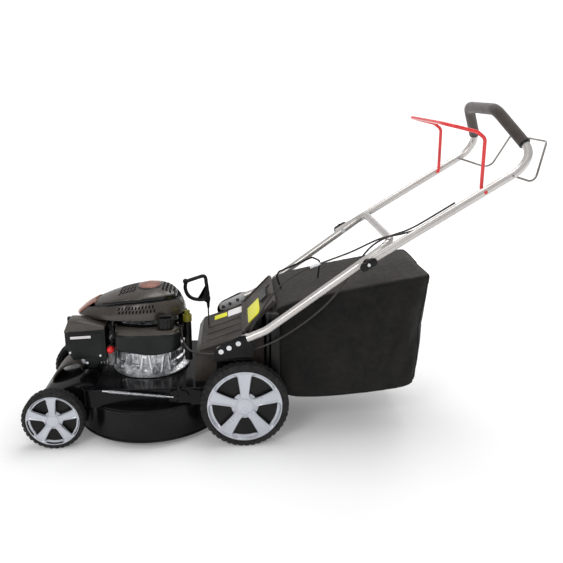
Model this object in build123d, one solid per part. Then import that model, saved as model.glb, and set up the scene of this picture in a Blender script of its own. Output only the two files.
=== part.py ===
from build123d import *
import math
import os

# Self-propelled walk-behind rotary mower with a rear grass bag. Millimetres, +X to the rear, +Z up.
# Every x below is measured from the rear axle; FRAME_X is taken off at the end, so that the origin
# of the finished part is the middle of its footprint, on the ground.

# ---- driving dimensions ----
FRAME_X = 121.125
REAR_R, REAR_RIM, REAR_IN, REAR_OUT = 140.0, 119.0, 210.0, 260.0
FRONT_R, FRONT_RIM, FRONT_IN, FRONT_OUT = 98.0, 84.0, 192.0, 236.0
WHEELBASE = 604.0
AXLE_R = 6.0
RUNNING = 0.05                # radial clearance of a shaft in its bore
ARM_X, ARM_Z = 50.0, 12.0     # axle centre from its arm's pivot
LUG_Z = 34.0                  # link rod lug above the arm's pivot
LINK_Y = 150.0
SHEET = 2.5                   # deck steel
CRANK_X = -316.0
DECK_R, SKIRT_Z0, SKIRT_Z1 = 250.0, 22.0, 132.0
PLATFORM_HALF, PLATFORM_Z = 205.0, 187.0
PLATFORM_X0, PLATFORM_X1 = -520.0, -100.0
REAR_BODY_HALF, REAR_BODY_X1, REAR_BODY_Z0, REAR_BODY_Z = 198.0, 45.0, 60.0, 172.0
HOOD_HALF = 172.0
CHUTE_HALF, CHUTE_X1 = 160.0, 66.0
BLADE_R, BLADE_Z = 230.0, 42.0
CASE_R, CASE_Z = 118.0, 298.0
COVER_R = 123.0
TUBE_R, TUBE_WALL = 12.5, 1.5
LOWER_Y, UPPER_Y = 221.0, 247.0
BEND_X, BEND_Z = 70.0, 380.0  # lower handle: where the flat foot turns into the slope
FOLD_X, FOLD_Z = 374.0, 600.0 # bolt that joins the two handles
CROSS_X = 455.0               # crossbar of the lower handle
UPPER_TAN = math.tan(math.radians(31.4))
BRAKE_PIVOT_X, DRIVE_PIVOT_X = 717.0, 795.0
FLAP_X, FLAP_Z = 4.0, 350.0
FLAP_HALF, FLAP_PIN_R = 152.0, 3.0
CABLE_R = 3.0
OIL_X, OIL_Y = -184.0, -62.0
CYLINDER_Z, CYLINDER_R, BORE_R = 252.0, 38.0, 32.0
CAP_X, CAP_Y, CAP_Z = -247.0, -139.0, 380.0
ROPE_X, ROPE_Y = -119.0, 55.0
PRIMER_X, PRIMER_Y, PRIMER_Z = -429.0, -121.3, 292.0
PRIMER_PRESS = 6.0            # travel of the bulb into its boss
PULLEY_R, GEAR_PULLEY_R, GEAR_X = 24.0, 30.0, -22.0
BOLT_R, BOLT_HOLE_R = 4.0, 4.1
LEVER_Y0, LEVER_Y1 = -208.7, -205.7      # lever plate, between the deck and the rear wheel
SECTOR_Y0, SECTOR_Y1 = -212.0, -209.2
FOOT_BOLTS = [(-71, 316.5), (-46, 328.4), (-17, 342.2)]
PIVOT_RX, PIVOT_RZ = -ARM_X, REAR_R - ARM_Z
PIVOT_FX, PIVOT_FZ = -WHEELBASE - ARM_X, FRONT_R - ARM_Z
ENGINE_BOLTS = [(CRANK_X + 104 * math.cos(a), 104 * math.sin(a)) for a in (0.9, 2.3, -0.9, -2.3)]


def upper_z(x):
    """Height of the upper handle's straight tubes at x."""
    return FOLD_Z + (x - FOLD_X) * UPPER_TAN


def lower_z(x):
    """Height of the lower handle's sloping tubes at x."""
    return BEND_Z + (x - BEND_X) * (FOLD_Z - BEND_Z) / (FOLD_X - BEND_X)


# ---- shapes used all over ----
def save(name, *shapes):
    """Write one sub-part, moved into the part's own frame."""
    solids = [solid for shape in shapes for solid in shape.solids()]
    whole = solids[0] if len(solids) == 1 else Compound(children=solids)
    export_step(Location((-FRAME_X, 0, 0)) * whole, "parts/" + name + ".step")


def block(x0, x1, y0, y1, z0, z1):
    """Box between two corners."""
    return Pos((x0 + x1) / 2, (y0 + y1) / 2, (z0 + z1) / 2) * Box(x1 - x0, y1 - y0, z1 - z0)


def drum(x, y, z, r, length, axis):
    """Cylinder of radius r that starts at a point and runs along an axis."""
    return extrude(Plane(origin=(x, y, z), z_dir=axis) * Circle(r), length)


def upright(x, y, r, z0, z1):
    return drum(x, y, z0, r, z1 - z0, (0, 0, 1))


def crosswise(x, z, r, y0, y1):
    return drum(x, y0, z, r, y1 - y0, (0, 1, 0))


def slab(points, y0, y1):
    """Outline in X and Z, given thickness from y0 to y1."""
    face = make_face(Polyline([(x, y0, z) for x, z in points], close=True))
    return extrude(face, y1 - y0, dir=(0, 1, 0))


def turned(points, x, z, side=1):
    """Section of radius and y, turned about the crosswise axis through x and z."""
    face = make_face(Polyline([(x + r, side * y, z) for r, y in points], close=True))
    return revolve(face, Axis((x, 0, z), (0, 1, 0)), 360)


def spun(points, x, y):
    """Section of radius and height, turned about the upright axis through x and y."""
    face = make_face(Polyline([(x + r, y, z) for r, z in points], close=True))
    return revolve(face, Axis((x, y, 0), (0, 0, 1)), 360)


def mirrored(shape):
    """The same piece on the other side of the machine."""
    return mirror(shape, Plane.XZ)


def rod(points, radii, r, bore=0.0):
    """Round bar or tube along runs joined by tangent arcs."""
    path = FilletPolyline(points, radius=radii) if radii else Polyline(points)
    start = Plane(origin=path @ 0, z_dir=path % 0)
    ring = Circle(r) - Circle(bore) if bore else Circle(r)
    return sweep(start * ring, path=path)


def arc_radii(points):
    """0.45 of the shorter run, over the tangent of half the turn, at each corner of a cable."""
    radii = []
    for before, here, after in zip(points, points[1:], points[2:]):
        first = Vector(*here) - Vector(*before)
        second = Vector(*after) - Vector(*here)
        turn = math.radians(first.get_angle(second))
        radii.append(0.45 * min(first.length, second.length) / math.tan(turn / 2))
    return radii


def cable(name, points):
    """Sheathed cable; prints its radii and the length that its volume stands for."""
    radii = arc_radii(points)
    solid = rod(points, radii, CABLE_R)
    print(name, "radii", [round(r) for r in radii])
    runs = sum((Vector(*b) - Vector(*a)).length for a, b in zip(points, points[1:]))
    print(name, "runs", round(runs), "length", round(solid.volume / (math.pi * CABLE_R ** 2)))
    save(name, solid)


# ---- deck ----
def hood_outline(inset):
    """Side view of the front hood, moved inwards by inset."""
    return [
        (-674 + inset, 62 - 4 * inset), (-674 + inset, 112), (-664 + inset, 137 - inset),
        (-622 + inset, 155 - inset), (-562 + inset, 186 - inset), (-535, 197 - inset),
        (-505, 197 - inset), (-480 + inset, 187 - inset), (-480 + inset, 62 - 4 * inset),
    ]


def deck_shell():
    drum_in = upright(CRANK_X, 0, DECK_R - SHEET, 0, SKIRT_Z1 - SHEET)
    skirt = upright(CRANK_X, 0, DECK_R, SKIRT_Z0, SKIRT_Z1)
    platform = block(PLATFORM_X0, PLATFORM_X1, -PLATFORM_HALF, PLATFORM_HALF,
                     SKIRT_Z1 - 2 * SHEET, PLATFORM_Z)
    platform = fillet(platform.edges().filter_by(Axis.Z), 40)
    hollow = block(PLATFORM_X0 + SHEET, PLATFORM_X1 - SHEET, SHEET - PLATFORM_HALF,
                   PLATFORM_HALF - SHEET, SKIRT_Z1 - SHEET, PLATFORM_Z - SHEET)
    hollow = fillet(hollow.edges().filter_by(Axis.Z), 40 - SHEET)
    main = skirt + platform - drum_in - hollow
    taken = upright(CRANK_X, 0, DECK_R, 0, SKIRT_Z1) + platform
    hood = slab(hood_outline(0), -HOOD_HALF, HOOD_HALF)
    hood -= slab(hood_outline(SHEET), SHEET - HOOD_HALF, HOOD_HALF - SHEET)
    rear = block(-130, REAR_BODY_X1, -REAR_BODY_HALF, REAR_BODY_HALF, REAR_BODY_Z0, REAR_BODY_Z)
    rear -= block(-140, REAR_BODY_X1 - SHEET, SHEET - REAR_BODY_HALF, REAR_BODY_HALF - SHEET,
                  0, REAR_BODY_Z - SHEET)
    deck = main + (hood - taken) + (rear - taken)
    # ways through: shaft, chute, belt, link rod, arm pivots and axle slots
    deck -= upright(CRANK_X, 0, 17, 150, 200)
    deck -= block(-155, -95, 5 - CHUTE_HALF, CHUTE_HALF - 5, 174, 200)
    deck -= block(-110, -96, -44, 44, 146, 190)
    deck -= block(-134, -90, -44, 44, 100, REAR_BODY_Z - SHEET)
    deck -= block(-540, -455, LINK_Y - 12, LINK_Y + 12, 100, 150)
    deck -= block(-134, -90, LINK_Y - 12, LINK_Y + 12, 128, REAR_BODY_Z - SHEET)
    deck -= crosswise(PIVOT_RX, PIVOT_RZ, AXLE_R + RUNNING, -230, 230)
    deck -= crosswise(PIVOT_FX, PIVOT_FZ, AXLE_R + RUNNING, -230, 230)
    deck -= slab([(-20, 88), (12, 88), (12, 152), (-20, 152)], -230, 230)
    deck -= slab([(-624, 50), (-590, 50), (-590, 110), (-624, 110)], -230, 230)
    for x, y in ENGINE_BOLTS:
        deck -= upright(x, y, BOLT_HOLE_R, 170, 200)
    return deck


def chute_outline(inset):
    """Side view of the discharge tunnel that rises behind the engine, moved inwards by inset."""
    return [
        (-160 + inset, 187 - 5 * inset), (-156 + inset, 268 - inset), (-140 + inset, 294 - inset),
        (-105 + inset, 305 - inset), (-60, 320 - inset), (5, 343 - inset),
        (CHUTE_X1 + 3 * inset, 336 - inset), (CHUTE_X1 + 3 * inset, REAR_BODY_Z + inset),
        (PLATFORM_X1 - inset, REAR_BODY_Z + inset), (PLATFORM_X1 - inset, 187 - 5 * inset),
    ]


def discharge_chute():
    tunnel = slab(chute_outline(0), -CHUTE_HALF, CHUTE_HALF)
    tunnel -= slab(chute_outline(3), 3 - CHUTE_HALF, CHUTE_HALF - 3)
    for side in (-1, 1):
        ear = crosswise(FLAP_X, FLAP_Z, 8, 0, 5) + block(FLAP_X - 6, FLAP_X + 6, 0, 5, 330, FLAP_Z)
        ear -= crosswise(FLAP_X, FLAP_Z, FLAP_PIN_R + RUNNING, -1, 6)
        tunnel += Pos(0, side * 157.5 - 2.5, 0) * ear
    return tunnel


def front_carry_handle():
    """Moulded grab handle that arches over the hood."""
    arch = [(-640, 136), (-637, 164), (-614, 195), (-586, 217), (-562, 225), (-549, 219), (-538, 190),
            (-548, 190), (-556, 209), (-568, 213), (-582, 206), (-603, 187), (-625, 158), (-628, 140)]
    return slab(arch, -60, 60) - slab(hood_outline(0), -70, 70)


# ---- height adjustment, axles and wheels ----


def bar(x0, z0, x1, z1, r, y0, y1):
    """Flat bar with round ends between two centres."""
    length = math.hypot(x1 - x0, z1 - z0)
    nx, nz = -(z1 - z0) / length * r, (x1 - x0) / length * r
    middle = slab([(x0 + nx, z0 + nz), (x1 + nx, z1 + nz), (x1 - nx, z1 - nz), (x0 - nx, z0 - nz)], y0, y1)
    return middle + crosswise(x0, z0, r, y0, y1) + crosswise(x1, z1, r, y0, y1)


def rear_axle_arms():
    """Two arms that carry the rear axle; the left one has the height lever."""
    arm = bar(PIVOT_RX, PIVOT_RZ, 0, REAR_R, 11, 200, 204)
    arm += crosswise(PIVOT_RX, PIVOT_RZ, AXLE_R, 188, 200)
    arm -= crosswise(0, REAR_R, AXLE_R + RUNNING, 150, 220)
    left = mirrored(arm) + crosswise(PIVOT_RX, PIVOT_RZ, 8, LEVER_Y1, -204)
    left += bar(PIVOT_RX, PIVOT_RZ, -150, 172, 7, LEVER_Y0, LEVER_Y1)
    left += bar(-150, 172, -206, 190, 5, LEVER_Y0, LEVER_Y1) + crosswise(-206, 190, 7, -232, LEVER_Y1)
    lug = bar(PIVOT_RX, PIVOT_RZ, PIVOT_RX, PIVOT_RZ + LUG_Z, 5, LINK_Y - 8, LINK_Y - 4)
    lug += crosswise(PIVOT_RX, PIVOT_RZ, AXLE_R, LINK_Y - 8, 204)
    lug += crosswise(PIVOT_RX, PIVOT_RZ + LUG_Z, 2.5, LINK_Y - 4, LINK_Y + 6)
    return arm + lug, left


def front_axle():
    """Cranked front axle: pivot rod, two arms, two stub axles and the link lug."""
    stub = bar(PIVOT_FX, PIVOT_FZ, -WHEELBASE, FRONT_R, 10, 176, 181)
    stub += crosswise(-WHEELBASE, FRONT_R, AXLE_R, 181, FRONT_OUT - 4)
    axle = crosswise(PIVOT_FX, PIVOT_FZ, AXLE_R, -181, 181) + stub + mirrored(stub)
    axle += bar(PIVOT_FX, PIVOT_FZ, PIVOT_FX, PIVOT_FZ + LUG_Z, 5, LINK_Y - 8, LINK_Y - 4)
    axle += crosswise(PIVOT_FX, PIVOT_FZ + LUG_Z, 2.5, LINK_Y - 4, LINK_Y + 6)
    return axle


def height_link_rod():
    """Flat-ended rod that makes the front axle follow the rear arms."""
    ends = (PIVOT_FX, PIVOT_FZ + LUG_Z), (PIVOT_RX, PIVOT_RZ + LUG_Z)
    link = bar(*ends[0], *ends[1], 4.5, LINK_Y - 3.5, LINK_Y + 0.5)
    for x, z in ends:
        link += crosswise(x, z, 5, LINK_Y - 3.5, LINK_Y + 0.5)
        link -= crosswise(x, z, 2.55, LINK_Y - 10, LINK_Y + 10)
    return link


def height_sector():
    """Notched plate beside the deck that holds the lever."""
    plate = slab([(-243, 138), (-236, 176), (-222, 182), (-186, 178), (-176, 160), (-180, 138)],
                 SECTOR_Y0, SECTOR_Y1)
    for x in (-230, -190):
        plate += crosswise(x, 148, 5, SECTOR_Y1, -PLATFORM_HALF)
    for step in range(3):
        angle = math.radians(174 - step * 6)
        plate -= crosswise(PIVOT_RX + 165 * math.cos(angle), PIVOT_RZ + 165 * math.sin(angle), 2.5,
                           SECTOR_Y0 - 3, SECTOR_Y1)
    return plate


def tyre(r, rim, inner, outer):
    """Rounded tread and side walls on the rim."""
    return [(rim, inner), (r - 9, inner), (r - 3, inner + 5), (r, inner + 13), (r, outer - 13),
            (r - 3, outer - 5), (r - 9, outer), (rim, outer)]


def wheel(x, z, rim, inner, outer, side):
    """Moulded wheel: rim barrel, hub and a face with five windows."""
    hub = 21.0
    section = [(AXLE_R + RUNNING, inner + 2), (hub, inner + 2), (hub, outer - 10), (rim - 6, outer - 12),
               (rim - 6, inner), (rim, inner), (rim, outer - 1), (rim - 8, outer - 3), (hub + 4, outer - 3),
               (hub, outer), (AXLE_R + RUNNING, outer)]
    disc = turned(section, x, z, side)
    for turn in range(5):
        a = math.radians(72 * turn + 36)
        wide, narrow = 0.36, 0.30
        corners = [(rim - 14, a - wide), (rim - 10, a), (rim - 14, a + wide), (hub + 14, a + narrow),
                   (hub + 11, a), (hub + 14, a - narrow)]
        window = [(x + r * math.sin(t), z + r * math.cos(t)) for r, t in corners]
        low, high = sorted((side * (outer - 16), side * (outer + 2)))
        disc -= slab(window, low, high)
    return disc


# ---- engine ----
def crankcase():
    case = spun([(12.6, 187), (124, 187), (124, 195), (CASE_R, 199), (CASE_R, CASE_Z), (12.6, CASE_Z)],
                CRANK_X, 0)
    case -= upright(CRANK_X, 0, CASE_R - 8, 196, CASE_Z - 8)
    for x, y in ENGINE_BOLTS:
        case -= upright(x, y, BOLT_HOLE_R, 180, 198)
    spout = upright(OIL_X, OIL_Y, 15, 205, 226) + block(-224, OIL_X, OIL_Y - 14, OIL_Y + 14, 205, 226)
    spout -= upright(CRANK_X, 0, CASE_R - 2, 200, 240)
    spout -= upright(OIL_X, OIL_Y, 11, 210, 240)
    bore = drum(-400, 0, CYLINDER_Z, CYLINDER_R, 60, (-1, 0, 0))
    return case + spout - bore


def cylinder():
    """Finned barrel and head that point forwards from the crankcase."""
    barrel = drum(-424, 0, CYLINDER_Z, CYLINDER_R, 106, (-1, 0, 0))
    for fin in range(8):
        barrel += block(-450 - 10 * fin, -446.5 - 10 * fin, -50, 50, 212, 294)
    barrel += block(-544, -524, -46, 46, 212, 294)
    return barrel - drum(-400, 0, CYLINDER_Z, BORE_R, 126, (-1, 0, 0))


def engine_cover_shape(inset):
    """Side view crossed with the plan: a dome over the flywheel that narrows to the front tip."""
    side = slab([(-546 + inset, 346), (-546 + inset, 402 - inset), (-512, 424 - inset), (-442, 450 - inset),
                 (-358, 469 - inset), (-275, 476 - inset), (-228, 468 - inset), (-200 - inset, 446 - inset),
                 (-192 - inset, 372), (-192 - inset, 346)], -150, 150)
    half = [(-548 + inset, 48), (-500, 92 - inset), (-400, 118 - inset), (CRANK_X, COVER_R - inset)]
    plan = Polyline([(x, -y, 300) for x, y in reversed(half)] + [(x, y, 300) for x, y in half], close=True)
    body = extrude(make_face(plan), 200, dir=(0, 0, 1)) + upright(CRANK_X, 0, COVER_R - inset, 300, 500)
    return side & body


def engine_cover():
    cover = engine_cover_shape(0) - (engine_cover_shape(3) & block(-600, 0, -200, 200, 300, 471))
    cover -= block(-600, 0, -200, 200, 340, 373.5) & upright(CRANK_X, 0, 129, 300, 400)
    for row in range(4):
        cover -= block(-430 + 16 * row, -422 + 16 * row, -30, 30, 420, 500)
        cover -= block(-262 + 14 * row, -255 + 14 * row, -40, 40, 420, 500)
    return cover - block(-600, 0, -200, -106, 340, 384) - block(-600, -430, -200, 200, 340, 394)


def blower_housing():
    """Cup round the flywheel, with a tab where the brake cable ends."""
    cup = spun([(COVER_R + 5, CASE_Z), (COVER_R + 5, 373), (COVER_R + 1, 373), (COVER_R + 1, CASE_Z + 3),
                (20, CASE_Z + 3), (20, CASE_Z)], CRANK_X, 0)
    end_x, end_y = BRAKE_ROUTE[-1][:2]
    reach = math.hypot(end_x - CRANK_X, end_y)
    tab = block(COVER_R + 3, reach + 6, -6, 6, 367, 370)
    return cup + Pos(CRANK_X, 0, 0) * Rot(Z=math.degrees(math.atan2(end_y, end_x - CRANK_X))) * tab


def fuel_tank():
    tank = slab([(-415, 292), (-350, 286), (-300, 300), (-206, 308), (-204, 366), (-412, 366)], -172, -60)
    tank = tank - upright(CRANK_X, 0, 131, 200, 400)
    tank -= slab([(-408, 298), (-350, 292), (-300, 306), (-212, 313), (-210, 360), (-406, 360)], -166, -60) \
        - upright(CRANK_X, 0, 137, 200, 400)
    neck = upright(CAP_X, CAP_Y, 20, 356, 378) - upright(CAP_X, CAP_Y, 16, 350, 380)
    return tank - upright(CAP_X, CAP_Y, 16, 350, 380) + neck


def primer_bulb():
    """Soft dome that travels into its boss when it is pressed."""
    return turned([(0, 0), (9, 0), (9, -9), (11, -11), (10, -16), (6, -19), (0, -20)], 0, 0)


def fuel_cap():
    cap = spun([(0, 404), (0, 378.5), (15.5, 378.5), (15.5, CAP_Z), (20.5, CAP_Z), (20.5, 370), (26, 370),
                (28, 378), (28, 398), (24, 404)], CAP_X, CAP_Y)
    cap += block(CAP_X - 22, CAP_X + 22, CAP_Y - 5, CAP_Y + 5, 404, 410)
    for ridge in range(18):
        a = 2 * math.pi * ridge / 18
        cap -= upright(CAP_X + 29.5 * math.cos(a), CAP_Y + 29.5 * math.sin(a), 2.4, 374, 400)
    return cap


def air_filter_base():
    base = block(-571, -443, -75, -60, 252, 386) + block(-470, -445, -61, -51, 262, 300)
    base += block(-445, PRIMER_X + 9, -75, -62, PRIMER_Z - 9, PRIMER_Z + 5)
    base += block(-441.5, PRIMER_X + 9, -83, -75, PRIMER_Z - 9, PRIMER_Z + 5)
    base += crosswise(PRIMER_X, PRIMER_Z, 13, PRIMER_Y + 0.3, -83)
    base -= crosswise(PRIMER_X, PRIMER_Z, 11.7, PRIMER_Y, PRIMER_Y + PRIMER_PRESS + 0.8)
    return base - drum(-457, -90, 280, 10, 60, (0, 1, 0))


def air_filter_cover():
    outline = [(-571, 300), (-548, 262), (-508, 262), (-500, 230), (-478, 228), (-466, 250), (-443, 252),
               (-443, 372), (-530, 392), (-552, 392), (-571, 352)]
    inner = [(-567, 300), (-545, 266), (-504, 266), (-496, 234), (-480, 232), (-469, 254), (-447, 256),
             (-447, 368), (-530, 388), (-550, 388), (-567, 350)]
    return slab(outline, -128, -75.3) - slab(inner, -124, -70)


def carburettor():
    body = block(-441, -421, -112, -66, 246, 276) + upright(-431, -98, 13, 231, 246)
    body += drum(-441, -90, 262, 9, 1.7, (-1, 0, 0)) + upright(-431, -98, 4, 226, 231)
    return body - drum(-450, -90, 262, 6.5, 26, (1, 0, 0))


def starter_handle():
    """Grip with a triangular finger loop, a ball end and a neck for the rope."""
    y = ROPE_Y
    ring = rod([(-192, y, 466), (-128, y, 484), (-123, y, 428), (-128, y, 402), (-160, y, 396),
                (-190, y, 412), (-196, y, 440)], [9, 12, 12, 20, 14], 5)
    ball = Pos(-194, y, 464) * Sphere(10)
    neck = spun([(0, 368), (5, 368), (8, 400), (8, 412), (0, 412)], ROPE_X, y)
    neck -= upright(ROPE_X, y, 2.6, 360, 380)
    return ring + ball + neck


def belt_loop(grow, z0, z1):
    """Stretch round both pulleys, grown by grow."""
    x0, x1, r0, r1 = CRANK_X, GEAR_X, PULLEY_R + grow, GEAR_PULLEY_R + grow
    tilt = math.asin((r1 - r0) / (x1 - x0))
    corners = [(x - r * math.sin(tilt), r * math.cos(tilt)) for x, r in ((x0, r0), (x1, r1))]
    outline = corners + [(x, -y) for x, y in reversed(corners)]
    face = make_face(Polyline([(x, y, z0) for x, y in outline], close=True))
    flat = extrude(face, z1 - z0, dir=(0, 0, 1))
    return flat + upright(x0, 0, r0, z0, z1) + upright(x1, 0, r1, z0, z1)


def pulley(x, r, bore):
    return spun([(bore, 148), (r + 6, 148), (r + 6, 150), (r, 153), (r, 161), (r + 6, 164), (r + 6, 166),
                 (bore, 166)], x, 0)


def blade():
    """Bar with a raised centre, sharpened ends and turned-up tails."""
    long = block(CRANK_X - BLADE_R, CRANK_X + BLADE_R, -27, 27, BLADE_Z - 4, BLADE_Z)
    long = long & upright(CRANK_X, 0, BLADE_R, 0, 100)
    for side in (-1, 1):
        tail = Pos(0, 24, 0) * Rot(X=-60) * Pos(0, 0, -BLADE_Z) * slab(
            [(145, BLADE_Z), (205, BLADE_Z), (205, BLADE_Z + 22), (155, BLADE_Z + 22)], 0, 3)
        tail = Pos(CRANK_X, 0, BLADE_Z - 1) * (Rot(Z=0 if side > 0 else 180) * tail)
        long += tail
    for x in (-30, 30):
        long -= upright(CRANK_X + x, 0, 4.1, 0, 100)
    return long - upright(CRANK_X, 0, 5.1, 0, 100)


# ---- handles ----
def lower_handle():
    """One tube: two legs joined by a crossbar, with flattened, drilled feet."""
    slope = [(CROSS_X, lower_z(CROSS_X)), (BEND_X, BEND_Z), (10, 355)]
    half = [(x, -LOWER_Y, z) for x, z in reversed(slope)]
    points = half + [(x, -y, z) for x, y, z in reversed(half)]
    tube = rod(points, [90, 45, 45, 90], TUBE_R, TUBE_R - TUBE_WALL)
    foot = bar(-72, 316, 12, 356, 15, -LOWER_Y - 2.5, -LOWER_Y + 2.5)
    for x, z in FOOT_BOLTS:
        foot -= crosswise(x, z, BOLT_HOLE_R, -240, -200)
    hole = crosswise(FOLD_X, FOLD_Z, BOLT_R, -300, 300)
    return tube - hole + foot + mirrored(foot)


def handle_brackets():
    """Bent plates on the rear body; the handle's feet are bolted inside them."""
    face = slab([(-86, 288), (-86, 304), (-72, 328), (-4, 358), (4, 340), (36, 334), (24, 288)],
                -LOWER_Y - 6.5, -LOWER_Y - 2.5)
    for x, z in FOOT_BOLTS:
        face -= crosswise(x, z, BOLT_HOLE_R, -240, -200)
    shelf = block(-86, 24, -LOWER_Y - 6.5, -188, 284, 288)
    leg = slab([(-86, 284), (24, 284), (40, REAR_BODY_Z), (-90, REAR_BODY_Z)], -192, -188)
    plate = face + shelf + leg
    return plate, mirrored(plate)


def handle_bolts():
    """Foot bolts and the two bolts that the knobs clamp."""
    for side in (-1, 1):
        for x, z in FOOT_BOLTS:
            bolt = crosswise(x, z, BOLT_R, -LOWER_Y - 6.5, -LOWER_Y + 8)
            bolt += crosswise(x, z, 8, -LOWER_Y - 10.5, -LOWER_Y - 6.5)
            bolt += crosswise(x, z, 6.5, -LOWER_Y + 2.5, -LOWER_Y + 8)
            yield bolt if side < 0 else mirrored(bolt)
        inside = TUBE_R - LOWER_Y
        pin = crosswise(FOLD_X, FOLD_Z, BOLT_R, -276, inside)
        pin += crosswise(FOLD_X, FOLD_Z, 8, inside, inside + 3)
        yield pin if side < 0 else mirrored(pin)


HANDLE_HALF = [
    (353, -UPPER_Y, upper_z(353)), (822, -UPPER_Y, upper_z(822)), (851, -238, 925), (778, -124, 1041),
]
HANDLE_RADII = [100, 50, 60]


def upper_handle():
    points = HANDLE_HALF + [(x, -y, z) for x, y, z in reversed(HANDLE_HALF)]
    tube = rod(points, HANDLE_RADII + HANDLE_RADII[::-1], TUBE_R, TUBE_R - TUBE_WALL)
    tube -= crosswise(FOLD_X, FOLD_Z, BOLT_R + RUNNING, -300, 300)
    for x, r in ((BRAKE_PIVOT_X, 5.5), (DRIVE_PIVOT_X, 3.25)):
        tube -= crosswise(x, upper_z(x), r + RUNNING, -300, 300)
    return tube


def foam_grip():
    """Foam sleeve over the top of the handle."""
    corner, top = Vector(851, -238, 925), Vector(778, -124, 1041)
    start = corner + (top - corner).normalized() * 33
    half = [tuple(start), tuple(top)]
    points = half + [(x, -y, z) for x, y, z in reversed(half)]
    return rod(points, [60, 60], 17.5, TUBE_R)


def knob(side):
    """Wing knob on the outer end of the bolt."""
    body = crosswise(FOLD_X, FOLD_Z, 17, UPPER_Y + TUBE_R + 0.5, 275)
    body += bar(FOLD_X - 20, FOLD_Z - 12, FOLD_X + 20, FOLD_Z + 12, 8, 265, 283)
    body -= crosswise(FOLD_X, FOLD_Z, BOLT_R + RUNNING, 250, 290)
    return body if side > 0 else mirrored(body)


def blade_brake_bail():
    """Coated rod: feet turned outwards into the handle, legs up, then forwards to a crossbar."""
    x, z = BRAKE_PIVOT_X, upper_z(BRAKE_PIVOT_X)
    half = [
        (x, -UPPER_Y - TUBE_R, z), (x, -218, z), (716, -219, 962), (692, -218, 981), (598, -204, 1004),
    ]
    points = half + [(px, -py, pz) for px, py, pz in reversed(half)]
    return rod(points, [14, 20, 20, 46, 46, 20, 20, 14], 5.5)


def drive_bail():
    """Steel wire: feet turned outwards into the handle, legs back and up to a crossbar."""
    x, z = DRIVE_PIVOT_X, upper_z(DRIVE_PIVOT_X)
    half = [(x, -UPPER_Y - TUBE_R, z), (x, -225, z), (893, -188, 826), (941, -138, 946)]
    points = half + [(px, -py, pz) for px, py, pz in reversed(half)]
    return rod(points, [10, 36, 20, 20, 36, 10], 3.25)


# ---- cables, in order from the handle down; ends lie in their stops ----
BRAKE_ROUTE = [
    (632, -243, 777.5), (566, -243, 737), (500, -241, 697), (443, -229, 677), (395, -201, 643),
    (354, -198, 586), (318, -200, 524), (268, -202, 462), (210, -203, 410), (146, -203, 364),
    (80, -202, 326), (12, -200, 303), (-58, -197, 296), (-118, -188, 293), (-166, -168, 292),
    (-190, -146, 308), (-198, -134, 336), (-198, -131, 366.6),
]
DRIVE_ROUTE = [
    (716, -229, 796), (655, -229, 758), (592, -228, 722), (532, -226, 696), (478, -219, 678),
    (430, -205, 668), (388, -193, 646), (345, -183, 621), (303, -174, 602), (263, -168, 586),
    (193, -166, 558), (150, -167, 535), (112, -170, 506), (82, -174, 468), (55, -178, 424),
    (28, -181, 376), (2, -182, 328), (-20, -181, 280), (-34, -178, 230), (-38, -175, 176),
]


def cable_adjuster():
    """Threaded barrel adjuster, in line on the drive cable."""
    a, b = Vector(*DRIVE_ROUTE[9]), Vector(*DRIVE_ROUTE[10])
    way = (b - a).normalized()
    start = a + way * 22
    barrel = drum(*start, 5, 34, tuple(way)) + drum(*(start + way * 8), 6.5, 6, tuple(way))
    return barrel - drum(*(start - way * 3), CABLE_R, 40, tuple(way))


# ---- grass bag and flap ----
def bag_outline(inset):
    """Side view of the bag: slanted mouth, crowned top, pointed rear top corner, bowed bottom."""
    return [
        (92 + inset, 300), (106 + inset, 438 - inset), (180, 466 - inset), (335, 498 - inset),
        (476, 523 - inset), (594 - inset, 540 - inset), (583 - inset, 440), (566 - inset, 250),
        (556 - inset, 160 + inset),
        (480, 138 + inset), (365, 126 + inset), (240, 119 + inset), (150, 122 + inset),
        (112 + inset, 160 + inset),
    ]


def grass_bag():
    outer = slab(bag_outline(0), -188, 188)
    inner = slab(bag_outline(3), -185, 185)
    mouth = slab([(60, 170), (60, 432), (125, 432), (125, 170)], -178, 178)
    return outer - inner - mouth


def bag_frame():
    """Wire round the mouth, carrying hooks and the lifting loop, on the outside of the bag."""
    ring = slab([(81, 152), (81, 418), (87, 424), (87, 152)], -190, 190)
    ring -= slab([(70, 164), (70, 410), (100, 410), (100, 164)], -176, 176)
    loop = rod([(130, 0, 449), (116, 0, 492), (124, 0, 508), (162, 0, 524), (236, 0, 556), (262, 0, 544),
                (256, 0, 484)], [8, 8, 50, 9, 9], 3)
    return ring + loop


def discharge_flap():
    """Hinged flap that rests on the bag's mouth."""
    leaf = slab([(FLAP_X, FLAP_Z + 4), (FLAP_X + 4, FLAP_Z - 1), (104, 446), (104, 452), (98, 452)],
                -FLAP_HALF, FLAP_HALF)
    barrel = crosswise(FLAP_X, FLAP_Z, 7, -FLAP_HALF, FLAP_HALF)
    return leaf + barrel - crosswise(FLAP_X, FLAP_Z, FLAP_PIN_R + RUNNING, -160, 160)


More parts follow.
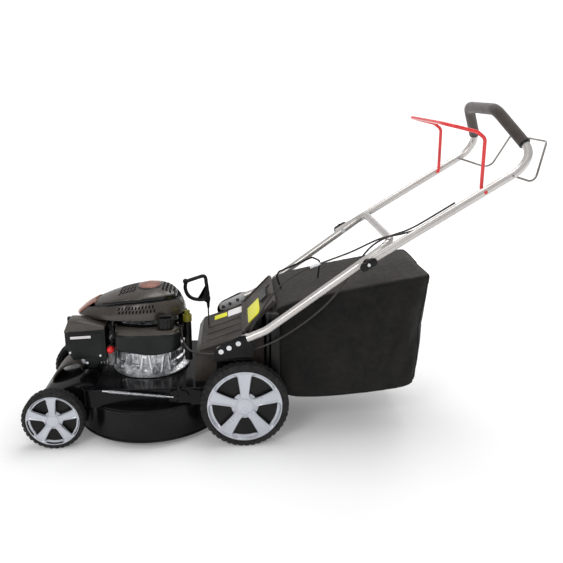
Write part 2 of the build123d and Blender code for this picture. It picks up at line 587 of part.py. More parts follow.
# ---- write everything ----
os.makedirs("parts", exist_ok=True)
save("deck_shell", deck_shell())
save("discharge_chute", discharge_chute())
save("front_carry_handle", front_carry_handle())
save("rear_axle_arms", *rear_axle_arms())
save("front_axle", front_axle())
save("height_link_rod", height_link_rod())
save("height_sector", height_sector())
save("height_assist_spring", rod([(-447, -216, 188), (-226, -216, 160)], [], 2.2)
     + drum(-432, -216, 186.1, 4.5, 175, (0.992, 0, -0.1257)))
save("rear_axle", crosswise(0, REAR_R, AXLE_R, 4 - REAR_OUT, REAR_OUT - 4))
save("gearbox", block(-34, 22, -42, 42, 116, 147.5) - crosswise(0, REAR_R, AXLE_R + RUNNING, -60, 60)
     + upright(GEAR_X, 0, 7, 147.5, 167))
save("gearbox_pulley", pulley(GEAR_X, GEAR_PULLEY_R, 7 + RUNNING))
save("drive_belt", belt_loop(5, 153.5, 160.5) - belt_loop(0.3, 150, 165))
for side, word in ((-1, "left"), (1, "right")):
    save("tyre_rear_" + word, turned(tyre(REAR_R, REAR_RIM, REAR_IN, REAR_OUT), 0, REAR_R, side))
    save("wheel_rear_" + word, wheel(0, REAR_R, REAR_RIM, REAR_IN, REAR_OUT, side))
    save("tyre_front_" + word,
         turned(tyre(FRONT_R, FRONT_RIM, FRONT_IN, FRONT_OUT), -WHEELBASE, FRONT_R, side))
    save("wheel_front_" + word, wheel(-WHEELBASE, FRONT_R, FRONT_RIM, FRONT_IN, FRONT_OUT, side))
    save("knob_" + word, knob(side))

save("crankcase", crankcase())
save("cylinder", cylinder())
save("spark_plug", drum(-544, 22, 266, 7, 20, (-1, 0, 0)) + drum(-564, 22, 266, 9, 14, (-1, 0, 0)))
save("muffler", block(-552, -446, 54, 104, 236, 330) - block(-549, -449, 57, 101, 239, 327)
     + drum(-480, 104, 262, 9, 8, (0, 1, 0)))
save("muffler_guard", block(-558, -440, 113, 116, 232, 336) + block(-558, -555, 50, 113, 232, 336)
     - block(-545, -453, 110, 120, 290, 296) - block(-545, -453, 110, 120, 305, 311)
     - drum(-480, 108, 262, 14, 20, (0, 1, 0)))
save("carburettor", carburettor())
save("air_filter_base", air_filter_base())
save("air_filter_cover", air_filter_cover())
save("fuel_tank", fuel_tank())
save("fuel_cap", fuel_cap())
save("blower_housing", blower_housing())
save("engine_cover", engine_cover())
save("engine_bolts", *[upright(x, y, BOLT_R, 176, 196) + upright(x, y, 7, 178.5, 184.5)
                       for x, y in ENGINE_BOLTS])
save("oil_filler_tube", upright(OIL_X, OIL_Y, 12.5, 226, 362) - upright(OIL_X, OIL_Y, 10.5, 200, 370))
save("oil_dipstick", upright(OIL_X, OIL_Y, 14.5, 362.5, 384) + upright(OIL_X, OIL_Y, 9, 384, 398)
     + upright(OIL_X, OIL_Y, 2.5, 232, 363) + upright(OIL_X, OIL_Y, 9.8, 352, 363))
save("primer_bulb", Pos(PRIMER_X, PRIMER_Y, PRIMER_Z) * primer_bulb())
save("starter_handle", starter_handle())
save("starter_rope", upright(ROPE_X, ROPE_Y, 2.5, 301.5, 380))

save("crankshaft", upright(CRANK_X, 0, 12.5, 78, 356) + upright(CRANK_X, 0, 30, 225, 240)
     + upright(CRANK_X, 0, 30, 262, 277))
save("flywheel", spun([(12.5, 316), (98, 316), (98, 326), (30, 330), (30, 345), (12.5, 345)], CRANK_X, 0)
     + spun([(70, 326), (96, 326), (96, 352), (92, 352), (92, 330), (70, 330)], CRANK_X, 0))
save("blade_adapter", pulley(CRANK_X, PULLEY_R, 12.5)
     + spun([(12.5, 60), (20, 60), (20, 148), (12.5, 148)], CRANK_X, 0)
     + spun([(5.0, BLADE_Z), (38, BLADE_Z), (38, 50), (22, 60), (22, 78), (5.0, 78)], CRANK_X, 0))
save("blade", blade())
save("blade_bolt", upright(CRANK_X, 0, 5.0, 38, 78) + upright(CRANK_X, 0, 16, 35, 38)
     + upright(CRANK_X, 0, 8.5, 28, 35))

save("handle_brackets", *handle_brackets())
save("handle_bolts", *handle_bolts())
save("lower_handle", lower_handle())
save("upper_handle", upper_handle())
save("foam_grip", foam_grip())
save("blade_brake_bail", blade_brake_bail())
save("drive_bail", drive_bail())
cable("brake_cable", BRAKE_ROUTE)
cable("drive_cable", DRIVE_ROUTE)
save("cable_adjuster", cable_adjuster())
save("discharge_flap", discharge_flap())
save("flap_hinge_rod", crosswise(FLAP_X, FLAP_Z, FLAP_PIN_R, -166, 166))
save("flap_spring", crosswise(FLAP_X, FLAP_Z, 6, FLAP_HALF + 0.4, FLAP_HALF + 2.6)
     - crosswise(FLAP_X, FLAP_Z, FLAP_PIN_R + RUNNING, 150, 160))
save("grass_bag", grass_bag())
save("bag_frame", bag_frame())
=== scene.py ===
import math
import bmesh
import bpy
import numpy as np
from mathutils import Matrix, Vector
from mathutils.bvhtree import BVHTree


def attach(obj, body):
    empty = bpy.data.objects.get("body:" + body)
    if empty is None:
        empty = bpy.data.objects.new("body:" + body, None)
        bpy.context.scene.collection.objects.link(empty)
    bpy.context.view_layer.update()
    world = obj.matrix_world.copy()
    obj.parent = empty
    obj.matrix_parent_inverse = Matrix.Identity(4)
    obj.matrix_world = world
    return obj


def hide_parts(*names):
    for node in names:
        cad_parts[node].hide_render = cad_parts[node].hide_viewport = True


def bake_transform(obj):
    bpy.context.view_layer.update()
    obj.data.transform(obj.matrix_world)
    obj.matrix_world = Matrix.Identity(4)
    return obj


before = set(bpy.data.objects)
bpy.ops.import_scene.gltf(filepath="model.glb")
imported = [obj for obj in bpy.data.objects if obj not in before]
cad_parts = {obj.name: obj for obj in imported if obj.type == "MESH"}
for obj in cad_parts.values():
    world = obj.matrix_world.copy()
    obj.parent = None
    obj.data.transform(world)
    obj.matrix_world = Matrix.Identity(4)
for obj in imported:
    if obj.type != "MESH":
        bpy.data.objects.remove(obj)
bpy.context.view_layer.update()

# ---- sizes, in millimetres from the rear axle, as in the CAD; placed() turns them into metres ----
MM = 0.001
FRAME_X = 121.125
WHEELBASE = 604.0
REAR = dict(x=0.0, z=140.0, r=140.0, rim=119.0, inner=210.0, outer=260.0)
FRONT = dict(x=-WHEELBASE, z=98.0, r=98.0, rim=84.0, inner=192.0, outer=236.0)
CRANK_X = -316.0
SPOKES = 5
COVER_R = 123.0
COVER_BASE = 384.0
TANK_R = 133.0
FOLD = (374.0, 600.0)
UPPER_Y = 247.0
TUBE_R = 12.5
CAP = (-247.0, -139.0)
PRIMER = (-429.0, -121.3, 292.0)
CABLE_R = 3.0
ROPE = (-119.0, 55.0)
SKY_LIGHT = 0.5
CAMERA_LENS, SENSOR_WIDTH = 42.87, 36.0
CAMERA_AT = (-15.35, -2176.25, 1112.45)
CAMERA_TILT, CAMERA_TURN = math.radians(16.34), math.radians(-3.9)

BRAKE_ROUTE = [
    (632, -243, 777.5), (566, -243, 737), (500, -241, 697), (443, -229, 677), (395, -201, 643),
    (354, -198, 586), (318, -200, 524), (268, -202, 462), (210, -203, 410), (146, -203, 364),
    (80, -202, 326), (12, -200, 303), (-58, -197, 296), (-118, -188, 293), (-166, -168, 292),
    (-190, -146, 308), (-198, -134, 336), (-198, -131, 366.6),
]
DRIVE_ROUTE = [
    (716, -229, 796), (655, -229, 758), (592, -228, 722), (532, -226, 696), (478, -219, 678),
    (430, -205, 668), (388, -193, 646), (345, -183, 621), (303, -174, 602), (263, -168, 586),
    (193, -166, 558), (150, -167, 535), (112, -170, 506), (82, -174, 468), (55, -178, 424),
    (28, -181, 376), (2, -182, 328), (-20, -181, 280), (-34, -178, 230), (-38, -175, 176),
]


def placed(points):
    """Millimetres from the rear axle to metres in the shared frame."""
    out = np.array(points, float) * MM
    out[..., 0] -= FRAME_X * MM
    return out


def measured(points):
    """Metres in the shared frame back to millimetres from the rear axle."""
    out = np.array(points, float) / MM
    out[..., 0] += FRAME_X
    return out


def link(thing):
    """Puts a new object in the scene and returns it."""
    bpy.context.scene.collection.objects.link(thing)
    return thing


# ---- finishes ----
def node_tree(name):
    """New node material; returns it with its tree and its shader."""
    material = bpy.data.materials.new(name)
    material.use_nodes = True
    tree = material.node_tree
    return material, tree, tree.nodes["Principled BSDF"]


def add_node(tree, kind, **values):
    """One node, with its named properties or input sockets set."""
    made = tree.nodes.new(kind)
    for key, value in values.items():
        if hasattr(made, key):
            setattr(made, key, value)
        else:
            made.inputs[key.replace("_", " ")].default_value = value
    return made


def set_sockets(node, **values):
    """Sets input sockets by name, with underscores for spaces."""
    for key, value in values.items():
        node.inputs[key.replace("_", " ")].default_value = value


def noise(tree, scale, detail=4.0, stretch=(1, 1, 1)):
    """Noise on Object coordinates, stretched along the axes."""
    place = add_node(tree, "ShaderNodeTexCoord")
    mapping = add_node(tree, "ShaderNodeMapping", Scale=stretch)
    made = add_node(tree, "ShaderNodeTexNoise", Scale=scale, Detail=detail)
    tree.links.new(place.outputs["Object"], mapping.inputs["Vector"])
    tree.links.new(mapping.outputs["Vector"], made.inputs["Vector"])
    return made.outputs["Fac"]


def blend_colours(tree, factor, first, second, low=0.35, high=0.65):
    """Colour that goes from first to second as factor goes from low to high."""
    ramp = add_node(tree, "ShaderNodeValToRGB")
    for stop, place, colour in zip(ramp.color_ramp.elements, (low, high), (first, second)):
        stop.position, stop.color = place, (*colour, 1)
    tree.links.new(factor, ramp.inputs["Fac"])
    return ramp.outputs["Color"]


def spread(tree, factor, low, high):
    """Number that follows factor between low and high."""
    made = add_node(tree, "ShaderNodeMapRange", From_Min=0.3, From_Max=0.7, To_Min=low, To_Max=high)
    tree.links.new(factor, made.inputs["Value"])
    return made.outputs["Result"]


def relief(tree, shader, height, strength, distance=0.001):
    """Bump on the shader from a height, in metres at full strength."""
    made = add_node(tree, "ShaderNodeBump", Strength=strength, Distance=distance)
    tree.links.new(height, made.inputs["Height"])
    tree.links.new(made.outputs["Normal"], shader.inputs["Normal"])


def base_material(name, tones, tone_noise, rough, rough_noise, **sockets):
    """Material whose colour drifts between two tones and whose roughness varies; tones may end with the two
    ramp positions, the noises are (scale, detail, stretch), and the rest are sockets of its shader."""
    material, tree, shader = node_tree(name)
    tree.links.new(blend_colours(tree, noise(tree, *tone_noise), *tones), shader.inputs["Base Color"])
    tree.links.new(spread(tree, noise(tree, *rough_noise), *rough), shader.inputs["Roughness"])
    set_sockets(shader, **sockets)
    return material, tree, shader


def finish(name, colour, second, rough, metal=0.0, grain=900.0, depth=0.15, patch=14.0, stretch=(1, 1, 1),
           coat=0.0, sheen=0.0, specular=0.5):
    """Base colour that drifts between two tones, fine grain in the relief and uneven roughness."""
    material, tree, shader = base_material(
        name, (colour, second), (patch,), rough, (patch * 5, 5.0, stretch), Metallic=metal, Coat_Weight=coat,
        Coat_Roughness=0.08, Sheen_Weight=sheen, Specular_IOR_Level=specular)
    relief(tree, shader, noise(tree, grain, 3.0, stretch), depth)
    return material


def woven(name, colour, second, pitch=0.0016):
    """Plain weave: two sets of crossing threads, worn lighter in broad patches."""
    material, tree, shader = base_material(
        name, (colour, second, 0.3, 0.75), (9.0, 5.0), (0.62, 0.85), (60.0,), Sheen_Weight=0.08,
        Sheen_Roughness=0.6, Specular_IOR_Level=0.16)
    place = add_node(tree, "ShaderNodeTexCoord")
    both = add_node(tree, "ShaderNodeMath", operation="MULTIPLY")
    for number, axis in enumerate("XZ"):
        threads = add_node(tree, "ShaderNodeTexWave", Scale=2 / pitch / 6.28, Distortion=0.6)
        threads.bands_direction = axis
        tree.links.new(place.outputs["Object"], threads.inputs["Vector"])
        tree.links.new(threads.outputs["Fac"], both.inputs[number])
    relief(tree, shader, both.outputs["Value"], 0.35, 0.0006)
    return material


def cast_metal(name):
    """Bright as-cast aluminium: grainy skin with darker hollows."""
    material, tree, shader = base_material(
        name, ((0.42, 0.43, 0.45), (0.90, 0.91, 0.93), 0.34, 0.52), (38.0, 8.0), (0.22, 0.5), (130.0,),
        Metallic=0.9)
    relief(tree, shader, noise(tree, 420.0, 6.0), 0.5, 0.0012)
    return material


def tread_rubber(name):
    """Black rubber with pale dust in its low grain."""
    material, tree, shader = base_material(
        name, ((0.004, 0.004, 0.005), (0.020, 0.018, 0.016), 0.42, 0.74), (55.0, 8.0), (0.42, 0.72), (90.0,),
        Specular_IOR_Level=0.3)
    relief(tree, shader, noise(tree, 1300.0), 0.25, 0.0008)
    return material


BLACK_PAINT = finish("black_paint", (0.002, 0.002, 0.003), (0.006, 0.006, 0.006), (0.12, 0.24), grain=500,
                     depth=0.03, specular=0.17)
SILVER_PAINT = finish("silver_paint", (0.50, 0.48, 0.46), (0.59, 0.57, 0.55), (0.24, 0.32), metal=0.5,
                      grain=1600, depth=0.02, patch=5)
RED_COATING = finish("red_coating", (0.62, 0.016, 0.018), (0.80, 0.03, 0.03), (0.22, 0.34), grain=700,
                     depth=0.08, coat=0.3)
BRIGHT_STEEL = finish("bright_steel", (0.50, 0.51, 0.53), (0.72, 0.73, 0.75), (0.18, 0.36), metal=1.0,
                      grain=700, depth=0.06, stretch=(1, 6, 1))
CAST_ALUMINIUM = cast_metal("cast_aluminium")
# Black plastic; on the silver wheels' barrels it is painted shade for the dark inside the wheel.
BLACK_PLASTIC_AND_WHEEL_SHADE = finish("black_plastic", (0.002, 0.002, 0.0025), (0.007, 0.006, 0.0055), (0.3, 0.46),
                       grain=1400, depth=0.25, specular=0.25)
GREY_PLASTIC = finish("grey_plastic", (0.003, 0.0036, 0.004), (0.008, 0.009, 0.0095), (0.3, 0.42),
                      grain=1500, depth=0.2, specular=0.24)
WIRE_STEEL = finish("wire_steel", (0.20, 0.185, 0.175), (0.30, 0.285, 0.27), (0.3, 0.4), metal=0.6, grain=900,
                    depth=0.04)
# Pale, almost unmetallic copy of the silver paint: painted light on the far foot's inner face.
FOOT_PAINTED_LIGHT = finish("foot_painted_light", (0.72, 0.72, 0.73), (0.82, 0.82, 0.83), (0.32, 0.42), metal=0.15, grain=800,
                    depth=0.3, patch=30)
DULL_ZINC = finish("dull_zinc", (0.10, 0.10, 0.10), (0.24, 0.24, 0.25), (0.35, 0.5), metal=0.8, grain=700,
                   depth=0.1, patch=60)
# Warm brown tone on dark plastic: painted top light, used on the engine cover, the tank's top and the air filter's
# lid, whose own plastic is black.
BROWN_TOP_LIGHT_PLASTIC = finish("brown_top_light_plastic", (0.034, 0.027, 0.021), (0.056, 0.045, 0.036), (0.26, 0.36),
                       grain=1200, depth=0.12, coat=0.15)
BAND_PLASTIC = finish("band_plastic", (0.002, 0.002, 0.002), (0.006, 0.005, 0.005), (0.12, 0.22), grain=600,
                      depth=0.04, coat=0.1, specular=0.35)
COPPER_PLATE = finish("copper_plate", (0.28, 0.115, 0.085), (0.44, 0.21, 0.16), (0.24, 0.34), metal=0.6,
                      grain=900, depth=0.08, patch=30)
# Near-black matte: painted shade for the dark inside the cover's vent openings.
VENT_PAINTED_SHADE = finish("vent_painted_shade", (0.0012, 0.0012, 0.0012), (0.003, 0.003, 0.003), (0.6, 0.8), grain=900,
                    specular=0.12)
WHEEL_SILVER = finish("wheel_silver", (0.50, 0.52, 0.57), (0.57, 0.59, 0.64), (0.26, 0.32), metal=0.35,
                      grain=2200, depth=0.015, patch=5, coat=0.2)
TYRE_RUBBER = tread_rubber("tyre_rubber")
RED_RUBBER = finish("red_rubber", (0.70, 0.012, 0.012), (0.85, 0.03, 0.025), (0.3, 0.42), grain=600,
                    depth=0.05)
GRIP_FOAM = finish("grip_foam", (0.030, 0.022, 0.019), (0.052, 0.040, 0.035), (0.7, 0.9), grain=650,
                   depth=0.6, sheen=0.3)
BELT_RUBBER = finish("belt_rubber", (0.012, 0.012, 0.012), (0.03, 0.03, 0.03), (0.5, 0.7), grain=800)
CABLE_SHEATH = finish("cable_sheath", (0.012, 0.011, 0.010), (0.028, 0.024, 0.021), (0.3, 0.42), grain=900,
                      depth=0.08)
BAG_FABRIC = woven("bag_fabric", (0.0022, 0.0024, 0.0024), (0.0105, 0.0092, 0.0072))
# Lighter brown copy of the bag's weave: painted top light for the upward faces of the bag's top.
BAG_TOP_PAINTED_LIGHT = woven("bag_top_painted_light", (0.012, 0.0098, 0.0070), (0.024, 0.0195, 0.0145))
BINDING = woven("binding_tape", (0.007, 0.007, 0.007), (0.014, 0.013, 0.012), 0.0012)
YELLOW_PLATE = finish("yellow_plate", (0.78, 0.76, 0.0), (0.86, 0.84, 0.01), (0.35, 0.45), grain=900,
                      depth=0.04)
OLIVE_PLASTIC = finish("olive_plastic", (0.13, 0.12, 0.006), (0.22, 0.20, 0.01), (0.35, 0.5), grain=900,
                       depth=0.1)
WHITE_PLATE = finish("white_plate", (0.72, 0.70, 0.70), (0.84, 0.82, 0.82), (0.35, 0.45), grain=900,
                     depth=0.04)
ROPE_FIBRE = finish("rope_fibre", (0.02, 0.02, 0.02), (0.06, 0.06, 0.05), (0.7, 0.85), grain=1500, depth=0.7)
# Warm brown tone on black plastic: painted top light on the chute, flap, carry handles and tank panel.
BROWN_LIT_CHUTE_PLASTIC = finish("brown_lit_chute_plastic", (0.024, 0.019, 0.015), (0.046, 0.037, 0.030), (0.40, 0.55),
                       grain=1300, depth=0.2, specular=0.35)

NODES_BY_FINISH = (
    (BLACK_PAINT, "deck_shell handle_brackets height_sector rear_axle_arms muffler_guard blower_housing"),
    # The chute, carry handle and flap take the warm brown tone: painted top light.
    (BROWN_LIT_CHUTE_PLASTIC, "discharge_chute front_carry_handle discharge_flap"),
    (SILVER_PAINT, "lower_handle upper_handle"),
    (BRIGHT_STEEL, "handle_bolts height_assist_spring height_link_rod rear_axle front_axle gearbox_pulley"
                   " muffler engine_bolts crankshaft blade_adapter blade blade_bolt cable_adjuster"
                   " flap_hinge_rod flap_spring"),
    (CAST_ALUMINIUM, "gearbox crankcase cylinder flywheel"),
    (BLACK_PLASTIC_AND_WHEEL_SHADE, "spark_plug air_filter_base oil_filler_tube starter_handle bag_frame knob_left knob_right"),
    (GREY_PLASTIC, "air_filter_cover fuel_tank fuel_cap"),
    (CABLE_SHEATH, "brake_cable drive_cable"),
    # The CAD engine cover takes the warm brown tone: painted top light.
    (BELT_RUBBER, "drive_belt"), (DULL_ZINC, "carburettor"), (BROWN_TOP_LIGHT_PLASTIC, "engine_cover"),
    (OLIVE_PLASTIC, "oil_dipstick"), (RED_RUBBER, "primer_bulb"), (ROPE_FIBRE, "starter_rope"),
    (GRIP_FOAM, "foam_grip"), (RED_COATING, "blade_brake_bail"), (WIRE_STEEL, "drive_bail"),
    (BAG_FABRIC, "grass_bag"),
)
NODE_FINISH = {node: look for look, nodes in NODES_BY_FINISH for node in nodes.split()}
for node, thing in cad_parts.items():
    if node.startswith("tyre_"):
        look = TYRE_RUBBER
    elif node.startswith("wheel_"):
        # The CAD wheels are silver plastic but take the black finish: painted shade for the wheel's inside.
        look = BLACK_PLASTIC_AND_WHEEL_SHADE
    else:
        look = NODE_FINISH[node]
    thing.data.materials.clear()
    thing.data.materials.append(look)


# ---- mesh helpers ----
def make_piece(name, points, faces, look, body, slot, nodes=(), sharp=32.0, recalc=True, ride=True):
    """Mesh from points in millimetres; doubles are merged and normals turned outwards on closed shapes."""
    mesh = bpy.data.meshes.new(name)
    mesh.from_pydata(placed(points).reshape(-1, 3).tolist(), [], [list(map(int, f)) for f in faces])
    work = bmesh.new()
    work.from_mesh(mesh)
    bmesh.ops.remove_doubles(work, verts=work.verts, dist=1e-6)
    if recalc:
        bmesh.ops.recalc_face_normals(work, faces=work.faces)
    work.to_mesh(mesh)
    work.free()
    mesh.shade_smooth()
    mesh.set_sharp_from_angle(angle=math.radians(sharp))
    mesh.materials.append(look)
    thing = link(bpy.data.objects.new(name, mesh))
    if ride:
        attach(thing, body)
    if nodes:
        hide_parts(*nodes)
    return thing


def grid_faces(rows, columns, wrap=False, keep=None):
    """Quads between neighbouring rows and columns; keep is a mask of the cells that stay."""
    last = columns if wrap else columns - 1
    i, j = np.meshgrid(np.arange(rows - 1), np.arange(last), indexing="ij")
    k = (j + 1) % columns
    quads = np.stack([i * columns + j, i * columns + k, (i + 1) * columns + k, (i + 1) * columns + j], -1)
    if keep is not None:
        return quads[keep]
    return quads.reshape(-1, 4)


def add_wall(thing, thickness, offset=-1):
    """Gives an open skin a thickness in millimetres; an offset of -1 puts all of it inside."""
    wall = thing.modifiers.new("wall", "SOLIDIFY")
    wall.thickness, wall.offset = thickness * MM, offset


def second_finish(thing, look, chosen):
    """Adds a material and gives it to the chosen faces, a mask."""
    thing.data.materials.append(look)
    thing.data.polygons.foreach_set("material_index", chosen.astype(np.int32))


def points_of(x, y, z):
    """Points from three coordinates, each an array or one number."""
    return np.stack(np.broadcast_arrays(x, y, z), -1).astype(float)


def open_skin(rings, wrap=True):
    """Rings of one size joined by quads, with nothing over their ends."""
    rings = np.asarray(rings, float)
    return rings.reshape(-1, 3), grid_faces(*rings.shape[:2], wrap=wrap).tolist()


def capped(rings):
    """Rings of one size joined into a closed skin; the end rings are filled."""
    points, faces = open_skin(rings)
    sides = np.shape(rings)[1]
    faces.append(list(range(sides))[::-1])
    faces.append(list(range(len(points) - sides, len(points))))
    return points, faces


def lathe(profile, centre, axis, segments=64, ripple=None, closed=False):
    """Profile of (radius, height) turned about an axis; ripple(angle, radius, height) is added to the radius."""
    profile = np.array(profile + profile[:1] if closed else profile, float)
    angle = np.arange(segments) * 2 * math.pi / segments
    r, a = np.meshgrid(profile[:, 0], angle, indexing="ij")
    h = np.meshgrid(profile[:, 1], angle, indexing="ij")[0]
    if ripple is not None:
        r = r + ripple(a, r, h)
    way = np.array(axis, float)
    way /= np.linalg.norm(way)
    side = np.cross(way, (0, 0, 1) if abs(way[2]) < 0.9 else (1, 0, 0))
    side /= np.linalg.norm(side)
    up = np.cross(side, way)
    points = (np.array(centre, float) + r[..., None] * (np.cos(a)[..., None] * up + np.sin(a)[..., None] * side)
              + h[..., None] * way)
    return open_skin(points)


def tube(path, radius, sides=12):
    """Round section carried along a path; each ring is turned the least from the one before it."""
    path = np.array(path, float)
    way = np.gradient(path, axis=0)
    way /= np.linalg.norm(way, axis=1)[:, None]
    up = np.cross(way[0], (0.3, 1.0, 0.2))
    ups = []
    for step in way:
        up = up - step * (up @ step)
        up = up / np.linalg.norm(up)
        ups.append(up)
    ups = np.array(ups)
    across = np.cross(way, ups)
    radius = np.broadcast_to(np.asarray(radius, float), (len(path),))
    a = np.arange(sides) * 2 * math.pi / sides
    rings = path[:, None] + radius[:, None, None] * (np.cos(a)[None, :, None] * ups[:, None]
                                                     + np.sin(a)[None, :, None] * across[:, None])
    return capped(rings)


def rounded(outline, radius, steps=5):
    """Outline whose corners are arcs: quadratic curves between points radius away from each corner."""
    outline = np.array(outline, float)
    made = []
    for before, here, after in zip(np.roll(outline, 1, 0), outline, np.roll(outline, -1, 0)):
        a = here + (before - here) * min(0.45, radius / np.linalg.norm(before - here))
        b = here + (after - here) * min(0.45, radius / np.linalg.norm(after - here))
        t = np.linspace(0, 1, steps)[:, None]
        made.append((1 - t) ** 2 * a + 2 * t * (1 - t) * here + t ** 2 * b)
    return np.concatenate(made)


def inset(outline, by):
    """Outline moved inwards along the mean of its two edge normals."""
    along = np.roll(outline, -1, 0) - np.roll(outline, 1, 0)
    along /= np.linalg.norm(along, axis=1)[:, None]
    area = np.sum(outline[:, 0] * np.roll(outline[:, 1], -1) - np.roll(outline[:, 0], -1) * outline[:, 1])
    normal = np.stack([-along[:, 1], along[:, 0]], -1) * np.sign(area)
    return outline + normal * by


def plate(outline, low, high, edge=1.0, plane="xz"):
    """Outline given thickness, with rounded edges: rings inset at the faces and full between them."""
    rings = []
    for level, by in ((low, edge), (low + edge * 0.3, edge * 0.3), (low + edge, 0), (high - edge, 0),
                      (high - edge * 0.3, edge * 0.3), (high, edge)):
        flat = inset(outline, by)
        order = (flat[:, 0], level, flat[:, 1]) if plane == "xz" else (flat[:, 0], flat[:, 1], level)
        rings.append(points_of(*order))
    return capped(rings)


def joined(*parts):
    """Several skins as one."""
    points, faces, start = [], [], 0
    for part_points, part_faces in parts:
        points.append(np.asarray(part_points, float).reshape(-1, 3))
        faces += [[i + start for i in f] for f in part_faces]
        start += len(points[-1])
    return np.concatenate(points), faces


def dome_screw(at, axis, r=4.0, height=2.5):
    """Round screw head with a shallow hollow in its middle."""
    return lathe([(0, -1), (r, -1), (r, height * 0.5), (r * 0.8, height), (r * 0.45, height),
                  (r * 0.4, height * 0.4), (0, height * 0.4)], at, axis, 20)


def smooth_line(points, count):
    """Catmull-Rom line through the points, sampled evenly in parameter."""
    p = np.array(points, float)
    p = np.concatenate([[2 * p[0] - p[1]], p, [2 * p[-1] - p[-2]]])
    t = np.linspace(0, len(p) - 3, count)
    i = np.minimum(t.astype(int), len(p) - 4)
    f = (t - i)[:, None]
    a, b, c, d = p[i], p[i + 1], p[i + 2], p[i + 3]
    return 0.5 * (2 * b + (c - a) * f + (2 * a - 5 * b + 4 * c - d) * f ** 2 + (3 * b - a - 3 * c + d) * f ** 3)


# ---- wheels ----
def tyre_piece(name, wheel, side, body):
    """Closed skin turned about the axle: round shoulders, two raised rings on the wall, and tread blocks.
    Blocks stand where both the angle and the width are inside their cell; rows are half a block apart."""
    r, rim, inner, outer = wheel["r"], wheel["rim"], wheel["inner"], wheel["outer"]
    width = outer - inner
    count = 44 if r > 120 else 34
    turns = count * 8
    profile = [(rim - 1.0, outer - 4), (rim + 0.5, outer - 1.5), (rim + 2.5, outer - 0.4), (rim + 4, outer - 1.2)]
    profile += [(r - 12, outer - 0.6), (r - 10.5, outer), (r - 9, outer - 0.5), (r - 5, outer - 2.6)]
    profile += [(r - 2.4, outer - 5.2)]
    profile += [(r - 0.2, inner + width * f) for f in np.linspace(0.88, 0.12, 17)]
    profile += [(r - 2.4, inner + 5.2), (r - 5, inner + 2.6), (r - 9, inner + 0.5), (rim + 4, inner + 1.2),
                (rim - 1.0, inner + 4)]

    def blocks(angle, radius, height):
        """Depth of the grooves between the tread blocks, as a change of radius."""
        across = (height - inner) / width
        row = np.floor(across * 5)
        phase = (angle / (2 * math.pi) * count + 0.5 * (row % 2) + 0.35 * np.abs(across - 0.5) * 2) % 1.0
        slot = np.clip((np.abs(phase - 0.5) - 0.34) / 0.06, 0, 1)
        gap = np.clip((np.abs(across * 5 - row - 0.5) - 0.40) / 0.06, 0, 1)
        tread = radius > r - 6.0
        return -np.where(tread, 3.2 * np.maximum(slot, gap * 0.8), 0.0)

    points, faces = lathe(profile, (wheel["x"], 0, wheel["z"]), (0, side, 0), turns, blocks, closed=True)
    return make_piece(name + "_tread", points, faces, TYRE_RUBBER, body, "tyre_rubber", [name], sharp=40)


